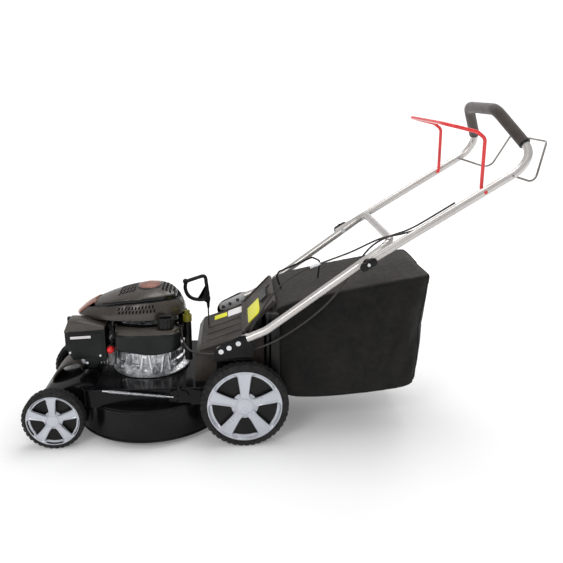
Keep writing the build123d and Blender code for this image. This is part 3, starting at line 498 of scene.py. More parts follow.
def hubcap_piece(name, wheel, side, body):
    """Face with five flared spokes: polar cells whose columns follow the spoke edges, windows left open.
    Height falls from the lip to a ring, rises along each spoke and crowns at the centre cap."""
    rim, face = wheel["rim"], wheel["outer"] - 1.0
    hub = rim * 0.245
    ring = rim * 0.865
    radii = np.concatenate([np.linspace(hub * 1.02, rim * 0.36, 7), np.linspace(rim * 0.40, ring, 14),
                            np.linspace(rim * 0.885, rim * 0.94, 4), [rim * 0.955, rim * 0.97, rim - 1.5, rim - 0.6]])
    spoke = np.linspace(-1, 1, 17)
    gap = np.linspace(0, 1, 13)[1:-1]
    half_mm = np.interp(radii, [hub, rim * 0.42, ring, rim], [rim * 0.128, rim * 0.124, rim * 0.19, rim * 0.28])
    half = np.arcsin(np.clip(half_mm / radii, 0, 0.55))
    sector = 2 * math.pi / SPOKES
    share = (radii - hub) / (rim - hub)
    cells = np.concatenate([half[:, None] * spoke, half[:, None] + (sector - 2 * half[:, None]) * gap], 1)
    angle = np.concatenate([cells + k * sector for k in range(SPOKES)], 1)
    ridge = np.concatenate([np.abs(spoke), np.full(len(gap), 2.0)])
    crest = np.tile(np.interp(ridge, [0, 0.55, 0.78, 0.9, 1.0, 1.01, 2.0], [-1.6, -1.2, 1.2, 1.0, -1.5, -5.5, -6.5]),
                    (len(radii), SPOKES))
    lip = np.clip((share - 0.90) / 0.06, 0, 1)
    base = np.interp(share, [0, 0.2, 0.7, 0.88, 0.93, 0.975, 1.0], [-1.5, -3.2, -2.0, -2.8, -0.8, 0.0, -1.2])
    height = face + base[:, None] + crest * (1 - lip)[:, None] * np.interp(share, [0, .12, 1], [0.3, 1, 1])[:, None]
    window = np.arange(angle.shape[1]) % cells.shape[1] >= len(spoke) - 1
    pierced = (radii[:-1] >= rim * 0.36) & (radii[1:] <= ring + 0.01)
    points = points_of(wheel["x"] + radii[:, None] * np.sin(angle), side * height,
                       wheel["z"] + radii[:, None] * np.cos(angle))
    faces = grid_faces(len(radii), angle.shape[1], wrap=True, keep=~(pierced[:, None] & window))
    shell = make_piece(name + "_hubcap", points.reshape(-1, 3), faces, WHEEL_SILVER, body, "silver_plastic",
                       sharp=28, recalc=False)
    if shell.data.polygons[0].normal.y * side < 0:
        shell.data.flip_normals()
    add_wall(shell, 7.5)
    axle = (wheel["x"], 0, wheel["z"]), (0, side, 0)
    boss = lathe([(0, face + 1.2), (hub * 0.55, face + 0.8), (hub * 0.84, face - 0.4), (hub * 0.9, face - 2.2),
                  (hub * 0.98, face - 2.3), (hub * 1.05, face - 3.4), (hub * 1.05, face - 12), (0, face - 12)],
                 *axle, 48)
    make_piece(name + "_cap", *boss, WHEEL_SILVER, body, "silver_plastic")
    inner, outer = wheel["inner"], wheel["outer"]
    # Barrel behind the spoke windows, black where the wheel is silver plastic: painted shade inside the wheel.
    barrel = lathe([(6.2, inner + 2), (21, inner + 2), (24, inner + 12), (rim - 16, outer - 20), (rim - 9, outer - 26),
                    (rim - 7, inner + 1), (rim - 4, inner), (rim, inner + 4), (rim, outer - 3), (rim - 5, outer - 4),
                    (rim - 7, outer - 13), (rim - 14, outer - 16), (26, outer - 18), (6.2, outer - 14)],
                   *axle, 72, closed=True)
    return make_piece(name + "_barrel", *barrel, BLACK_PLASTIC_AND_WHEEL_SHADE, body, "silver_plastic", [name], sharp=30)


for word, wheel in (("rear", REAR), ("front", FRONT)):
    for hand, side in (("left", -1), ("right", 1)):
        body = f"{word}_wheel_{hand}"
        tyre_piece(f"tyre_{word}_{hand}", wheel, side, body)
        hubcap_piece(f"wheel_{word}_{hand}", wheel, side, body)


# ---- engine ----
def cover_outline(angle):
    """Distance from the crankshaft to the cover's edge: round behind, drawn out to a blunt nose in front."""
    turn = np.abs((angle + math.pi) % (2 * math.pi) - math.pi)
    return np.interp(turn, np.radians([0, 90, 118, 136, 150, 158, 166, 172, 180]),
                     [COVER_R, COVER_R, 133, 156, 182, 199, 218, 229, 231])


def cover_top(x):
    """Height of the cover's ridge along the machine: a long rise to the crown, then a short fall behind."""
    return np.interp(x, [-548, -530, -512, -478, -442, -400, -358, -316, -275, -250, -228, -210, -196],
                     [398, 412, 422, 437, 449, 460, 468, 474, 475.6, 474, 468, 458, 440])


def cover_height(x, level):
    """Height at a level of the cover: 0 at its lower edge and 1 at its ridge."""
    return COVER_BASE + (cover_top(x) - COVER_BASE) * level


def cover_share(x, y):
    """Distance from the crankshaft as a share of the cover's edge in that direction."""
    return np.hypot(x - CRANK_X, y) / cover_outline(np.arctan2(y, x - CRANK_X))


def nose_lift(x, share):
    """Extra level over the drawn-out nose, so that it stays blunt."""
    return np.clip((-470 - x) / 70, 0, 1) * np.interp(share, [0.0, 0.8, 1.0], [0, 0.15, 0])


def engine_cover_piece():
    """Polar skin about the crankshaft. Each direction has one profile of (share of the edge radius, share of
    the height): skirt, bulged flank, a lip, a deep band, and a crowned top."""
    angle = np.linspace(0, 2 * math.pi, 241)[:-1]
    edge = cover_outline(angle)
    profile = [(0.985, 0.0), (1.0, 0.02), (1.0, 0.18), (0.992, 0.30), (0.955, 0.48), (0.905, 0.63), (0.885, 0.66),
               (0.865, 0.655), (0.845, 0.60), (0.825, 0.56), (0.81, 0.57), (0.80, 0.66), (0.798, 0.755),
               (0.785, 0.79), (0.75, 0.815), (0.65, 0.87), (0.5, 0.925), (0.35, 0.965), (0.2, 0.99), (0.08, 1.0),
               (0.0, 1.0)]
    rings = []
    for share, level in profile:
        x = CRANK_X + edge * share * np.cos(angle)
        rings.append(points_of(x, edge * share * np.sin(angle),
                               cover_height(x, np.minimum(level + nose_lift(x, share), 1.0))))
    # The shell takes the warm brown tone as painted top light on its gloss black plastic; the deep band keeps the
    # black.
    shell = make_piece("engine_cover_shell", *open_skin(rings), BROWN_TOP_LIGHT_PLASTIC, "root", "gloss_black_plastic",
                       ["engine_cover"], sharp=38)
    x, y, z = measured([face.center for face in shell.data.polygons]).T
    share = cover_share(x, y)
    second_finish(shell, BAND_PLASTIC, (share < 0.90) & (share > 0.795) & (z < cover_height(x, 0.80)) & (x > -505))
    add_wall(shell, 2.5)


def cover_surface(x, y):
    """Height of the cover's crowned top at a plan point, from the same profile as the shell."""
    level = np.interp(cover_share(x, y), [0, 0.08, 0.2, 0.35, 0.5, 0.65, 0.75, 0.785, 0.8],
                      [1, 1, 0.99, 0.965, 0.925, 0.87, 0.815, 0.79, 0.70])
    return cover_height(x, level)


def on_cover(flat, lift):
    """Plan points raised to the cover's top and a little more."""
    return points_of(flat[:, 0], flat[:, 1], cover_surface(flat[:, 0], flat[:, 1]) + lift)


def top_slot(centre, half_x, half_y, lean):
    """One slanted vent slot: a near-black lens of painted shade, standing for the dark inside the opening, sunk into
    the cover's top, with a thin raised border.
    """
    corners = np.array([(-half_x, -half_y), (half_x, -half_y), (half_x, half_y), (-half_x, half_y)], float)
    corners[:, 0] += lean * corners[:, 1]
    flat = rounded(corners + centre, 1.6, 3)
    return capped([on_cover(inset(flat, 0.7), 0.55), on_cover(flat, 0.45), on_cover(flat, -1.2)])


engine_cover_piece()
rows = np.arange(4) - 1.5
vents = [top_slot((-400 + column * 11.5 + 0.54 * row, row * 27), 3.4, 11.0, 0.30)
         for column in range(5) for row in rows]
vents += [top_slot((-262 + column * 11.5, row * 25), 3.6, 10.0, -0.10) for column in range(4) for row in rows]
# The top slots are near-black lenses: painted shade where the vents open.
make_piece("cover_top_vents", *joined(*vents), VENT_PAINTED_SHADE, "root", "gloss_black_plastic", sharp=30)


def draped_disc(centre, radius_x, radius_y, lift, look, name):
    """Oval plate that follows the cover's top: rings of the oval, raised by lift and crowned in the middle."""
    angle = np.linspace(0, 2 * math.pi, 65)[:-1]
    oval = np.stack([radius_x * np.cos(angle), radius_y * np.sin(angle)], -1)
    rings = [on_cover(oval + centre, -1.5), on_cover(oval + centre, lift * 0.7)]
    for share in [0.985, *np.linspace(0.95, 0.0, 10)]:
        rings.append(on_cover(oval * share + centre, lift + 0.6 * (1 - share ** 2)))
    make_piece(name, *open_skin(rings), look, "root", "gloss_black_plastic", sharp=30)


draped_disc((-308, 0), 44, 52, 1.0, BAND_PLASTIC, "cover_badge_surround")
draped_disc((-308, 0), 36, 43, 2.4, COPPER_PLATE, "cover_badge")


SLOT_CORNERS = np.array([(-1, -1), (1, -1), (1.35, 0), (1.7, 1), (-0.3, 1), (-0.65, 0)]).T


def flank_slot(x, level, side):
    """One slanted slot on the bulged side. Its turn about the crankshaft is found in a few steps, because the
    edge's radius depends on it; one ring of corners lies outside the skin and one beneath it."""
    reach = COVER_R
    for _ in range(7):
        turn = np.arccos(np.clip((x - CRANK_X) / reach, -1, 1))
        reach = cover_outline(turn)
    here = turn - SLOT_CORNERS[0] * 2.6 / reach
    up = level + SLOT_CORNERS[1] * 0.055
    rings = []
    for lift in (0.5, -1.4):
        out = cover_outline(here) * np.interp(up, [0.30, 0.48, 0.63], [0.992, 0.955, 0.905]) + lift
        px = CRANK_X + out * np.cos(here)
        rings.append(points_of(px, side * out * np.sin(here), cover_height(px, up) + lift * 0.5))
    return capped(rings)


flank = [flank_slot(-398 + column * 11.4 - row * 3.5, (0.36, 0.50)[row], side)
         for side in (-1, 1) for column in range(11) for row in range(2)]
# The flank slots are near-black lenses: painted shade where the vents open.
make_piece("cover_flank_vents", *joined(*flank), VENT_PAINTED_SHADE, "root", "gloss_black_plastic", sharp=30)


def nose_badge():
    """Copper shield over the nose, following the cover's skin 1.6 mm above it."""
    s, t = np.meshgrid(np.linspace(0, 1, 9), np.linspace(-1, 1, 15), indexing="ij")
    turn = math.pi + t * (0.19 + 0.02 * s)
    share = 1.004 - 0.26 * s
    out = cover_outline(turn) * share
    x = CRANK_X + out * np.cos(turn)
    level = np.interp(share, [0.74, 0.80, 0.885, 0.905, 0.955, 0.992, 1.004],
                      [0.82, 0.76, 0.67, 0.635, 0.485, 0.31, 0.2])
    z = cover_height(x, np.minimum(level + nose_lift(x, share), 1.0)) + 1.6
    return open_skin(points_of(x, out * np.sin(turn), z), wrap=False)


badge = make_piece("cover_nose_badge", *nose_badge(), COPPER_PLATE, "root", "gloss_black_plastic", sharp=30)
add_wall(badge, 3.0, offset=0)


def tank_rings(levels):
    """Plan of the fuel tank at each (height, inset): outer side bulges, inner side follows the blower cup."""
    rings = []
    for z, by in levels:
        outer = [(-204 - by, -96), (-206 - by, -140), (-232, -168 + by), (-300, -173 + by), (-372, -172 + by),
                 (-404 + by, -158 + by), (-414 + by, -120), (-415 + by, -84)]
        line = smooth_line(outer, 60)
        turn = np.linspace(math.atan2(-84, -415 - CRANK_X), math.atan2(-88, -204 - CRANK_X), 30)
        inner = np.stack([CRANK_X + TANK_R * np.cos(turn), TANK_R * np.sin(turn)], -1)
        rings.append(points_of(*np.concatenate([line, inner]).T, z))
    return np.array(rings)


def fuel_tank_piece():
    """Stacked plans from the wavy bottom to the shouldered top; grooves press in along slanted lines."""
    levels = [(290, 6), (292, 2), (298, 0), (306, 0)] + [(306 + 3.0 * k, 0) for k in range(1, 13)]
    levels += [(346, 0), (350, 1.0), (353, 3.5), (354, 5), (358, 6), (362, 6.5), (365, 8), (366.5, 12)]
    rings = tank_rings(levels)
    x, y, z = rings[..., 0], rings[..., 1], rings[..., 2]
    wave = 6.0 * np.sin((x + 415) / 190 * 2 * math.pi + 0.6) * np.clip((320 - z) / 30, 0, 1)
    rings[..., 2] = z + wave
    phase = (x + 0.45 * (z - 300) + 395) / 45.0
    groove = np.clip(1 - np.abs(phase - np.round(phase)) * 45 / 2.2, 0, 1)
    on_side = (y < -120) & (z > 300) & (z < 347) & (phase > -0.2) & (phase < 4.3)
    rings[..., 1] = y + np.where(on_side, 2.2 * groove, 0)
    thing = make_piece("fuel_tank_body", *capped(rings), GREY_PLASTIC, "root", "black_plastic", ["fuel_tank"],
                       sharp=30)
    # Faces above 351.5 mm take the warm brown tone: painted top light on the tank's top.
    top = measured([face.center for face in thing.data.polygons])[:, 2] > 351.5
    second_finish(thing, BROWN_TOP_LIGHT_PLASTIC, top)


fuel_tank_piece()
step = rounded([(-392, -167), (-275, -167), (-268, -150), (-282, -138), (-396, -138), (-404, -150)], 9)
# The step panel takes the warm brown tone: painted top light.
make_piece("fuel_tank_panel", *plate(step, 364, 368.5, 1.2, "xy"), BROWN_LIT_CHUTE_PLASTIC, "root", "black_plastic")
neck = lathe([(20, 358), (20.5, 366), (21, 368.6), (17.5, 369.2), (17.5, 358)], (*CAP, 0), (0, 0, 1), 40,
             closed=True)
make_piece("fuel_tank_neck", *neck, BLACK_PLASTIC_AND_WHEEL_SHADE, "root", "black_plastic")


def knurled(angle, radius, height):
    """Finger scallops round the cap's wall, fading out at its top and bottom."""
    wall = np.clip((radius - 22) / 4, 0, 1)
    return -1.6 * wall * (0.5 + 0.5 * np.cos(angle * 16)) ** 2


fuel_cap = lathe([(0, 372), (22, 372), (27.6, 372.8), (28, 375), (28, 394), (26.8, 399), (23.5, 402), (20, 402.4),
                  (18.5, 400.5), (6, 400.5), (0, 400.5)], (*CAP, 0), (0, 0, 1), 128, knurled)
grip_bar = rounded([(CAP[0] - 21, CAP[1] - 4.5), (CAP[0] + 21, CAP[1] - 4.5), (CAP[0] + 21, CAP[1] + 4.5),
                    (CAP[0] - 21, CAP[1] + 4.5)], 4)
make_piece("fuel_cap_body", *joined(fuel_cap, plate(grip_bar, 399, 409.5, 2.0, "xy")), BLACK_PLASTIC_AND_WHEEL_SHADE, "cap",
           "black_plastic", ["fuel_cap"], sharp=34)


def air_filter_piece():
    """Box with rounded corners: front face flat with a step, top slanted towards the front."""
    outline = rounded([(-571, 300), (-550, 258), (-514, 262), (-505, 229), (-479, 228), (-466, 250), (-443, 254),
                       (-443, 368), (-530, 391), (-556, 391), (-571, 352)], 5, 4)
    body = plate(outline, -128, -74.6, 3.0)
    face = rounded([(-561, 296), (-545, 268), (-508, 268), (-498, 238), (-482, 236), (-470, 262), (-452, 264),
                    (-452, 352), (-558, 358)], 5, 4)
    return joined(body, plate(face, -130.2, -127, 1.2))


make_piece("air_filter_case", *air_filter_piece(), GREY_PLASTIC, "root", "black_plastic", ["air_filter_cover"],
           sharp=28)
lid = rounded([(-571, 352), (-443, 362), (-443, 372), (-530, 393), (-556, 393), (-572, 356)], 3, 4)
# The lid takes the warm brown tone: painted top light on the air filter's top.
make_piece("air_filter_lid", *plate(lid, -129.5, -70, 2.5), BROWN_TOP_LIGHT_PLASTIC, "root", "gloss_black_plastic", sharp=28)
bar_mark = rounded([(-553, 331.5), (-488, 334), (-488, 342.5), (-553, 340)], 1.2, 3)
make_piece("air_filter_mark", *plate(bar_mark, -130.8, -129.5, 0.2), WHITE_PLATE, "root", "black_plastic")
screws = [dome_screw((x, -130.2, z), (0, -1, 0), r)
          for x, z, r in ((-505, 250, 4.5), (-462, 274, 4.0), (-557, 286, 4.0))]
make_piece("air_filter_screws", *joined(*screws), BRIGHT_STEEL, "root", "bright_steel")

bulb = lathe([(0, 0), (9, 0), (11, 1.5), (11.4, 4), (11.2, 9), (10, 13.5), (7, 17.2), (3.5, 19), (0, 19.6)],
             PRIMER, (0, -1, 0), 40)
make_piece("primer_dome", *bulb, RED_RUBBER, "primer", "red_rubber", ["primer_bulb"])
collar = lathe([(12.3, 1), (14.6, 0), (14.8, -4), (13, -6), (12.3, -4)], PRIMER, (0, -1, 0), 40, closed=True)
make_piece("primer_collar", *collar, BLACK_PLASTIC_AND_WHEEL_SHADE, "root", "black_plastic")


def ribbed_case(angle, radius, height):
    """Upright ribs and two proud bands on the casting; ribs are wider low down."""
    ribs = np.clip(1 - np.abs(((angle * 26 / (2 * math.pi)) % 1.0) - 0.5) / 0.17, 0, 1)
    wall = (height > 204) & (height < 286) & (radius > 100)
    patch = 0.5 + 0.5 * np.sin(angle * 5 + 0.8)
    return np.where(wall, 5.0 * ribs * (0.4 + 0.6 * patch) + 3.0 * patch, 0)


case = lathe([(60, 187.5), (122, 187.5), (127, 188.5), (128.5, 190), (128.5, 194), (126, 196), (117, 198), (108, 203)]
             + [(106, 206 + 4 * k) for k in range(4)] + [(111, 222), (111, 226)]
             + [(105, 230 + 4 * k) for k in range(10)] + [(112, 270), (112, 275)]
             + [(107, 279), (109, 285), (114, 290), (118, 292), (118, 297), (60, 297)],
             (CRANK_X, 0, 0), (0, 0, 1), 260, ribbed_case, closed=True)
make_piece("crankcase_casting", *case, CAST_ALUMINIUM, "root", "cast_aluminium", ["crankcase"], sharp=30)


def casting_details():
    """Bosses, a slanted duct and bolt heads on the near side of the casting."""
    parts, wall = [], 96
    for turn, z, r, reach in ((-2.15, 262, 9, 122), (-1.95, 214, 8, 124), (-1.62, 262, 8, 122), (-1.3, 216, 8, 124),
                              (-1.05, 262, 9, 122), (-0.75, 216, 8, 124), (-0.5, 262, 8, 122), (-2.4, 214, 8, 122),
                              (1.2, 262, 9, 122), (1.8, 216, 8, 122), (2.2, 262, 8, 122), (0.6, 216, 8, 122)):
        way = (math.cos(turn), math.sin(turn), 0)
        start = (CRANK_X + wall * way[0], wall * way[1], z)
        reach -= wall
        parts.append(lathe([(0, 0), (r * 1.25, 0), (r, reach - 3), (r * 0.85, reach), (r * 0.55, reach),
                            (r * 0.5, reach + 3.5), (0, reach + 3.5)], start, way, 24))
    for turn, lean in ((-1.78, 0.12), (-1.45, -0.10), (-1.18, 0.15), (-0.9, -0.08), (-2.3, 0.1)):
        lower = np.array([CRANK_X + 114 * math.cos(turn), 114 * math.sin(turn), 200])
        upper = np.array([CRANK_X + 110 * math.cos(turn + lean), 110 * math.sin(turn + lean), 290])
        parts.append(tube(np.linspace(lower, upper, 6), [7, 6, 5.4, 5, 5.4, 6.5], 12))
    return joined(*parts)


make_piece("crankcase_bosses", *casting_details(), CAST_ALUMINIUM, "root", "cast_aluminium", sharp=32)


# ---- grass bag ----
BAG_BOTTOM = [(112, 160), (130, 136), (165, 123), (240, 119.5), (365, 126), (480, 138), (535, 148), (560, 166)]
BAG_HALF = 181.0
BAG_TOP = [(104, 430), (118, 441), (180, 464), (335, 496), (476, 521), (540, 532), (578, 538), (592, 540)]


def bag_line(points, share):
    """Point along a curve through the given points, by share of its length."""
    line = smooth_line(points, 200)
    step = np.concatenate([[0], np.cumsum(np.linalg.norm(np.diff(line, axis=0), axis=1))])
    return np.stack([np.interp(share * step[-1], step, line[:, k]) for k in (0, 1)], -1)


def bag_share(x):
    """Share of the bag's length at a distance behind the rear axle: 0 at its mouth and 1 at its back."""
    return np.clip((x - 110) / 470, 0, 1)


def bag_half_width(share, height):
    """Half width: full at the top seam, drawn in a little at the waist, at the mouth and at the back."""
    waist = 7.0 * np.sin(math.pi * height) * np.sin(math.pi * share)
    mouth = 9.0 * np.clip(1 - share / 0.12, 0, 1) ** 2
    back = 4.0 * np.clip((share - 0.93) / 0.07, 0, 1) ** 2
    return BAG_HALF + waist - mouth - back - 6.0 * (1 - height) ** 3


def bag_folds(share, height, side):
    """Soft creases: slanting folds that fall from the top seam, and upright ones beside the back corner."""
    slant = np.sin((share * 4.6 + height * 2.1 + side * 0.35) * math.pi) * np.sin(math.pi * height) * 4.2
    pull = np.sin((share * 9.0 - height * 3.4) * math.pi + 1.1) * np.sin(math.pi * height) ** 2 * 2.4
    upright = np.sin(share * 34 + 2.0 * height) * np.clip((share - 0.78) / 0.2, 0, 1) * 2.6
    drape = np.exp(-((height - 0.80 - 0.12 * share) / 0.045) ** 2) * -5.0 * np.sin(math.pi * share)
    return slant + pull + upright + drape


def bag_grid():
    """Closed skin: rings from the mouth to the back, each a box with tight corners, in step with the seams.
    A ring goes up the left side, over the top, down the right side and back along the floor."""
    shares = np.linspace(0, 1, 74)[:, None]
    low, high = bag_line(BAG_BOTTOM, shares[:, 0])[:, None], bag_line(BAG_TOP, shares[:, 0])[:, None]
    rise = np.linspace(0.03, 0.985, 52)
    across = np.linspace(-1, 1, 52)[1:-1]
    at = low + (high - low) * rise[:, None]
    left, right = (points_of(at[..., 0], side * (bag_half_width(shares, rise) + bag_folds(shares, rise, side)),
                             at[..., 1]) for side in (-1, 1))
    crown = 7.0 * np.sin(math.pi * np.minimum(1, shares * 1.1)) + 3.0
    sag = -3.0 * np.sin(shares * 3.1 * math.pi + across) * (1 - across ** 2) * shares
    top = points_of(high[..., 0], across * (bag_half_width(shares, 1.0) - 1),
                    high[..., 1] - 1.0 + crown * (1 - across ** 4) * 0.35 + sag)
    floor = points_of(low[..., 0], -across * (bag_half_width(shares, 0.0) - 1),
                      low[..., 1] + 2.5 - 5.0 * (1 - across ** 4) * np.sin(math.pi * shares))
    return np.concatenate([left, top, right[:, ::-1], floor], 1)


def move_points(thing, points):
    """Moves every vertex to a new place, in metres."""
    thing.data.vertices.foreach_set("co", points.astype(np.float32).ravel())
    thing.data.update()


def simulate_cloth(thing, pinned, pressure, cap):
    """Pressure fills the closed skin for twenty frames; no point ends more than cap from where it was."""
    before = np.array([v.co for v in thing.data.vertices])
    group = thing.vertex_groups.new(name="held")
    for index, weight in enumerate(pinned(before)):
        if weight > 0:
            group.add([index], float(weight), "REPLACE")
    cloth = thing.modifiers.new("cloth", "CLOTH")
    cloth.settings.quality = 4
    cloth.settings.mass = 0.3
    cloth.settings.tension_stiffness = cloth.settings.compression_stiffness = 25
    cloth.settings.bending_stiffness = 2.0
    cloth.settings.use_pressure = True
    cloth.settings.uniform_pressure_force = pressure
    cloth.settings.vertex_group_mass = "held"
    cloth.settings.effector_weights.gravity = 0
    cloth.collision_settings.use_collision = False
    scene = bpy.context.scene
    scene.frame_start, scene.frame_end = 1, 20
    for number in range(1, 21):
        scene.frame_set(number)
    solved = thing.evaluated_get(bpy.context.evaluated_depsgraph_get())
    after = np.array([v.co for v in solved.data.vertices])
    thing.modifiers.remove(cloth)
    scene.frame_set(1)
    move = after - before
    far = np.linalg.norm(move, axis=1)[:, None]
    move_points(thing, before + move * np.minimum(1, cap / np.maximum(far, 1e-9)))


def near_seams(points):
    """1 close to a sewn edge of the bag and 0 a hand's breadth away."""
    x, y, z = measured(points).T
    share = bag_share(x)
    inside = (BAG_HALF - np.abs(y)).clip(0)
    gaps = [inside + np.abs(z - bag_line(line, share)[:, 1]) for line in (BAG_TOP, BAG_BOTTOM)]
    return np.clip(1.3 - np.minimum(np.minimum(*gaps), x - 104) / 26, 0, 1)


def crease(thing):
    """Moves the settled side panels by long soft folds: a pair that runs down from the top seam towards the
    wheel, short ones that fan from the back corners, and a sag line under the top seam."""
    at = np.array([v.co for v in thing.data.vertices])
    x, y, z = measured(at).T
    along = bag_share(x)
    low, high = bag_line(BAG_BOTTOM, along)[:, 1], bag_line(BAG_TOP, along)[:, 1]
    up = np.clip((z - low) / (high - low), 0, 1)
    free = np.sin(math.pi * np.clip(up, 0.02, 0.98)) ** 0.6 * np.sin(math.pi * np.clip(along, 0.03, 0.97)) ** 0.4
    slant = np.abs(np.sin((along * 1.9 + up * 1.15 - 0.15) * math.pi)) ** 0.7 - 0.6
    fan = np.sin((along - 1.05) * 26 / (0.45 + up)) * np.clip((along - 0.55) / 0.4, 0, 1)
    pull = np.sin((along * 7.0 + up * 3.0) * math.pi) * np.clip(0.45 - up, 0, 1)
    sag = -np.exp(-((up - 0.86) / 0.05) ** 2)
    move = free * (5.5 * slant + 3.2 * fan + 3.0 * pull + 3.5 * sag)
    y = y + np.clip((np.abs(y) - 150) / 20, 0, 1) * np.sign(y) * move
    x = x + np.clip((along - 0.97) / 0.03, 0, 1) * free * 3.0 * np.sin(y / 26.0 + up * 5)
    move_points(thing, placed(points_of(x, y, z)))


def bag_piece():
    """The sewn shell: gridded, remeshed and filled by the cloth solver; its upward faces on top take a lighter brown
    weave as painted top light.
    """
    rings = bag_grid()
    thing = make_piece("grass_bag_skin", *capped(rings), BAG_FABRIC, "bag", "bag_fabric", ["grass_bag"], sharp=50)
    remesh = thing.modifiers.new("voxels", "REMESH")
    remesh.mode = "VOXEL"
    remesh.voxel_size = 0.006
    fine = bpy.data.meshes.new_from_object(thing.evaluated_get(bpy.context.evaluated_depsgraph_get()))
    thing.modifiers.clear()
    thing.data = fine
    thing.data.materials.clear()
    thing.data.materials.append(BAG_FABRIC)
    simulate_cloth(thing, near_seams, 1.6, 0.009)
    crease(thing)
    smooth = thing.modifiers.new("fine", "SUBSURF")
    smooth.levels = smooth.render_levels = 1
    # Upward faces above 400 mm take the lighter brown weave: painted light on the bag's top.
    upright = np.array([face.normal.z for face in thing.data.polygons])
    height = np.array([face.center.z for face in thing.data.polygons]) / MM
    second_finish(thing, BAG_TOP_PAINTED_LIGHT, (upright > 0.55) & (height > 400))
    thing.data.shade_smooth()
    return thing


bag = bag_piece()


def on_bag():
    """Function that takes a path to the nearest points of the bag's settled skin."""
    bpy.context.view_layer.update()
    settled = bag.evaluated_get(bpy.context.evaluated_depsgraph_get()).to_mesh()
    tree = BVHTree.FromPolygons([v.co.copy() for v in settled.vertices], [tuple(p.vertices) for p in settled.polygons])

    def fit(path):
        """Path moved to the skin, in millimetres."""
        return measured([tree.find_nearest(Vector(at))[0] for at in placed(path)])
    return fit


def seam_tapes():
    """Bound edges: flat tapes along the top, bottom and back corners of the bag, laid on its skin."""
    fit = on_bag()
    shares, rise = np.linspace(0.02, 0.985, 60), np.linspace(0.03, 0.985, 30)
    upper, lower = bag_line(BAG_TOP, shares), bag_line(BAG_BOTTOM, shares)
    hem = lower + (upper - lower) * 0.03
    low, high = (bag_line(line, np.array([1.0]))[0] for line in (BAG_BOTTOM, BAG_TOP))
    corner = low + (high - low) * rise[:, None]
    tapes = []
    for side in (-1, 1):
        tapes += [(points_of(upper[:, 0], side * (bag_half_width(shares, 1.0) + 0.3), upper[:, 1] - 0.5), 2.6),
                  (points_of(hem[:, 0], side * (bag_half_width(shares, 0.0) + 0.3), hem[:, 1] - 1.0), 2.4),
                  (points_of(corner[:, 0] + 0.3, side * bag_half_width(1.0, rise), corner[:, 1]), 2.4)]
    for (x, z), half in ((high, 176), (low, 172)):
        tapes.append((points_of(x, np.linspace(-half, half, 40), z), 2.4))
    return joined(*[tube(fit(path), radius, 8) for path, radius in tapes])


make_piece("grass_bag_tapes", *seam_tapes(), BINDING, "bag", "bag_fabric", sharp=60)


# ---- cables ----
def cord_line(name, route):
    """Points of the smooth line whose control points are the route."""
    data = bpy.data.curves.new(name + "_line", "CURVE")
    data.dimensions = "3D"
    line = data.splines.new("NURBS")
    line.points.add(len(route) - 1)
    for point, at in zip(line.points, placed(route)):
        point.co = (*at, 1)
    line.order_u = 3
    line.use_endpoint_u = True
    line.resolution_u = 10
    thing = link(bpy.data.objects.new(name + "_line", data))
    bpy.context.view_layer.update()
    mesh = bpy.data.meshes.new_from_object(thing)
    points = np.array([v.co for v in mesh.vertices])
    bpy.data.objects.remove(thing)
    return points


def cable_piece(name, route):
    """Sheathed cable: a tube of 6 mm along its line."""
    path = cord_line(name, route)
    thing = make_piece(name + "_sheath", *tube(measured(path), CABLE_R, 10), CABLE_SHEATH, "root", "cable_sheath",
                       [name], sharp=60, ride=False)
    placed((500, 0, 690))
    placed((330, 0, 600))
    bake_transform(thing)
    list(placed(route[0]))


cable_piece("brake_cable", BRAKE_ROUTE)
cable_piece("drive_cable", DRIVE_ROUTE)


# ---- deck, height lever, chute and flap ----
def hood_line():
    """Side view of the front hood's skin: one smooth rise from the front lip to the platform."""
    top = smooth_line([(-675.5, 96), (-673, 120), (-655, 143), (-622, 160.5), (-585, 178), (-556, 190.5),
                       (-530, 198.5), (-504, 198.8), (-478, 190)], 60)
    return np.concatenate([top, [(-478, 176), (-520, 178), (-600, 140), (-655, 100), (-668, 90)]])


make_piece("deck_hood_skin", *plate(hood_line(), -173.5, 173.5, 6.0), BLACK_PAINT, "root", "black_paint",
           sharp=35)


def deck_lip():
    """Rolled rim of the platform: a bead round the plan, rounded at its corners."""
    x0, x1, y = -521.0, -99.0, 206.0
    flat = rounded([(x0, -y), (x1, -y), (x1, y), (x0, y)], 44, 12)
    return tube(points_of(*np.concatenate([flat, flat[:1]]).T, 185.0), 2.6, 8)


make_piece("deck_platform_bead", *deck_lip(), BLACK_PAINT, "root", "black_paint", sharp=50)


def skirt_bands():
    """Rings round the skirt: a hemmed lower edge and a stepped shoulder under the platform."""
    hem = lathe([(250, 20), (251.5, 20), (253, 22.5), (252.6, 26), (250.4, 28), (248, 26)], (CRANK_X, 0, 0),
                (0, 0, 1), 180, closed=True)
    turn = np.radians(np.linspace(52, 308, 120))
    arc = points_of(CRANK_X + 250.5 * np.cos(turn), 250.5 * np.sin(turn), 125.0)
    return joined(hem, tube(arc, 3.2, 10))


make_piece("deck_skirt_rings", *skirt_bands(), BLACK_PAINT, "root", "black_paint", sharp=40)


def grab_handle():
    """Moulded strap that arches over the hood: an oval section carried along a smooth side view."""
    line = smooth_line([(-641, 140), (-638, 164), (-618, 192), (-592, 212), (-566, 221), (-546, 214),
                        (-541, 193)], 40)
    way = np.gradient(line, axis=0)
    way /= np.linalg.norm(way, axis=1)[:, None]
    out = np.stack([-way[:, 1], way[:, 0]], -1)
    a = np.arange(28) * 2 * math.pi / 28
    wide = 60 * np.sign(np.cos(a)) * np.abs(np.cos(a)) ** 0.35
    high = 5.2 * np.sign(np.sin(a)) * np.abs(np.sin(a)) ** 0.7
    return capped(points_of(line[:, :1] + out[:, :1] * high, wide, line[:, 1:] + out[:, 1:] * high))


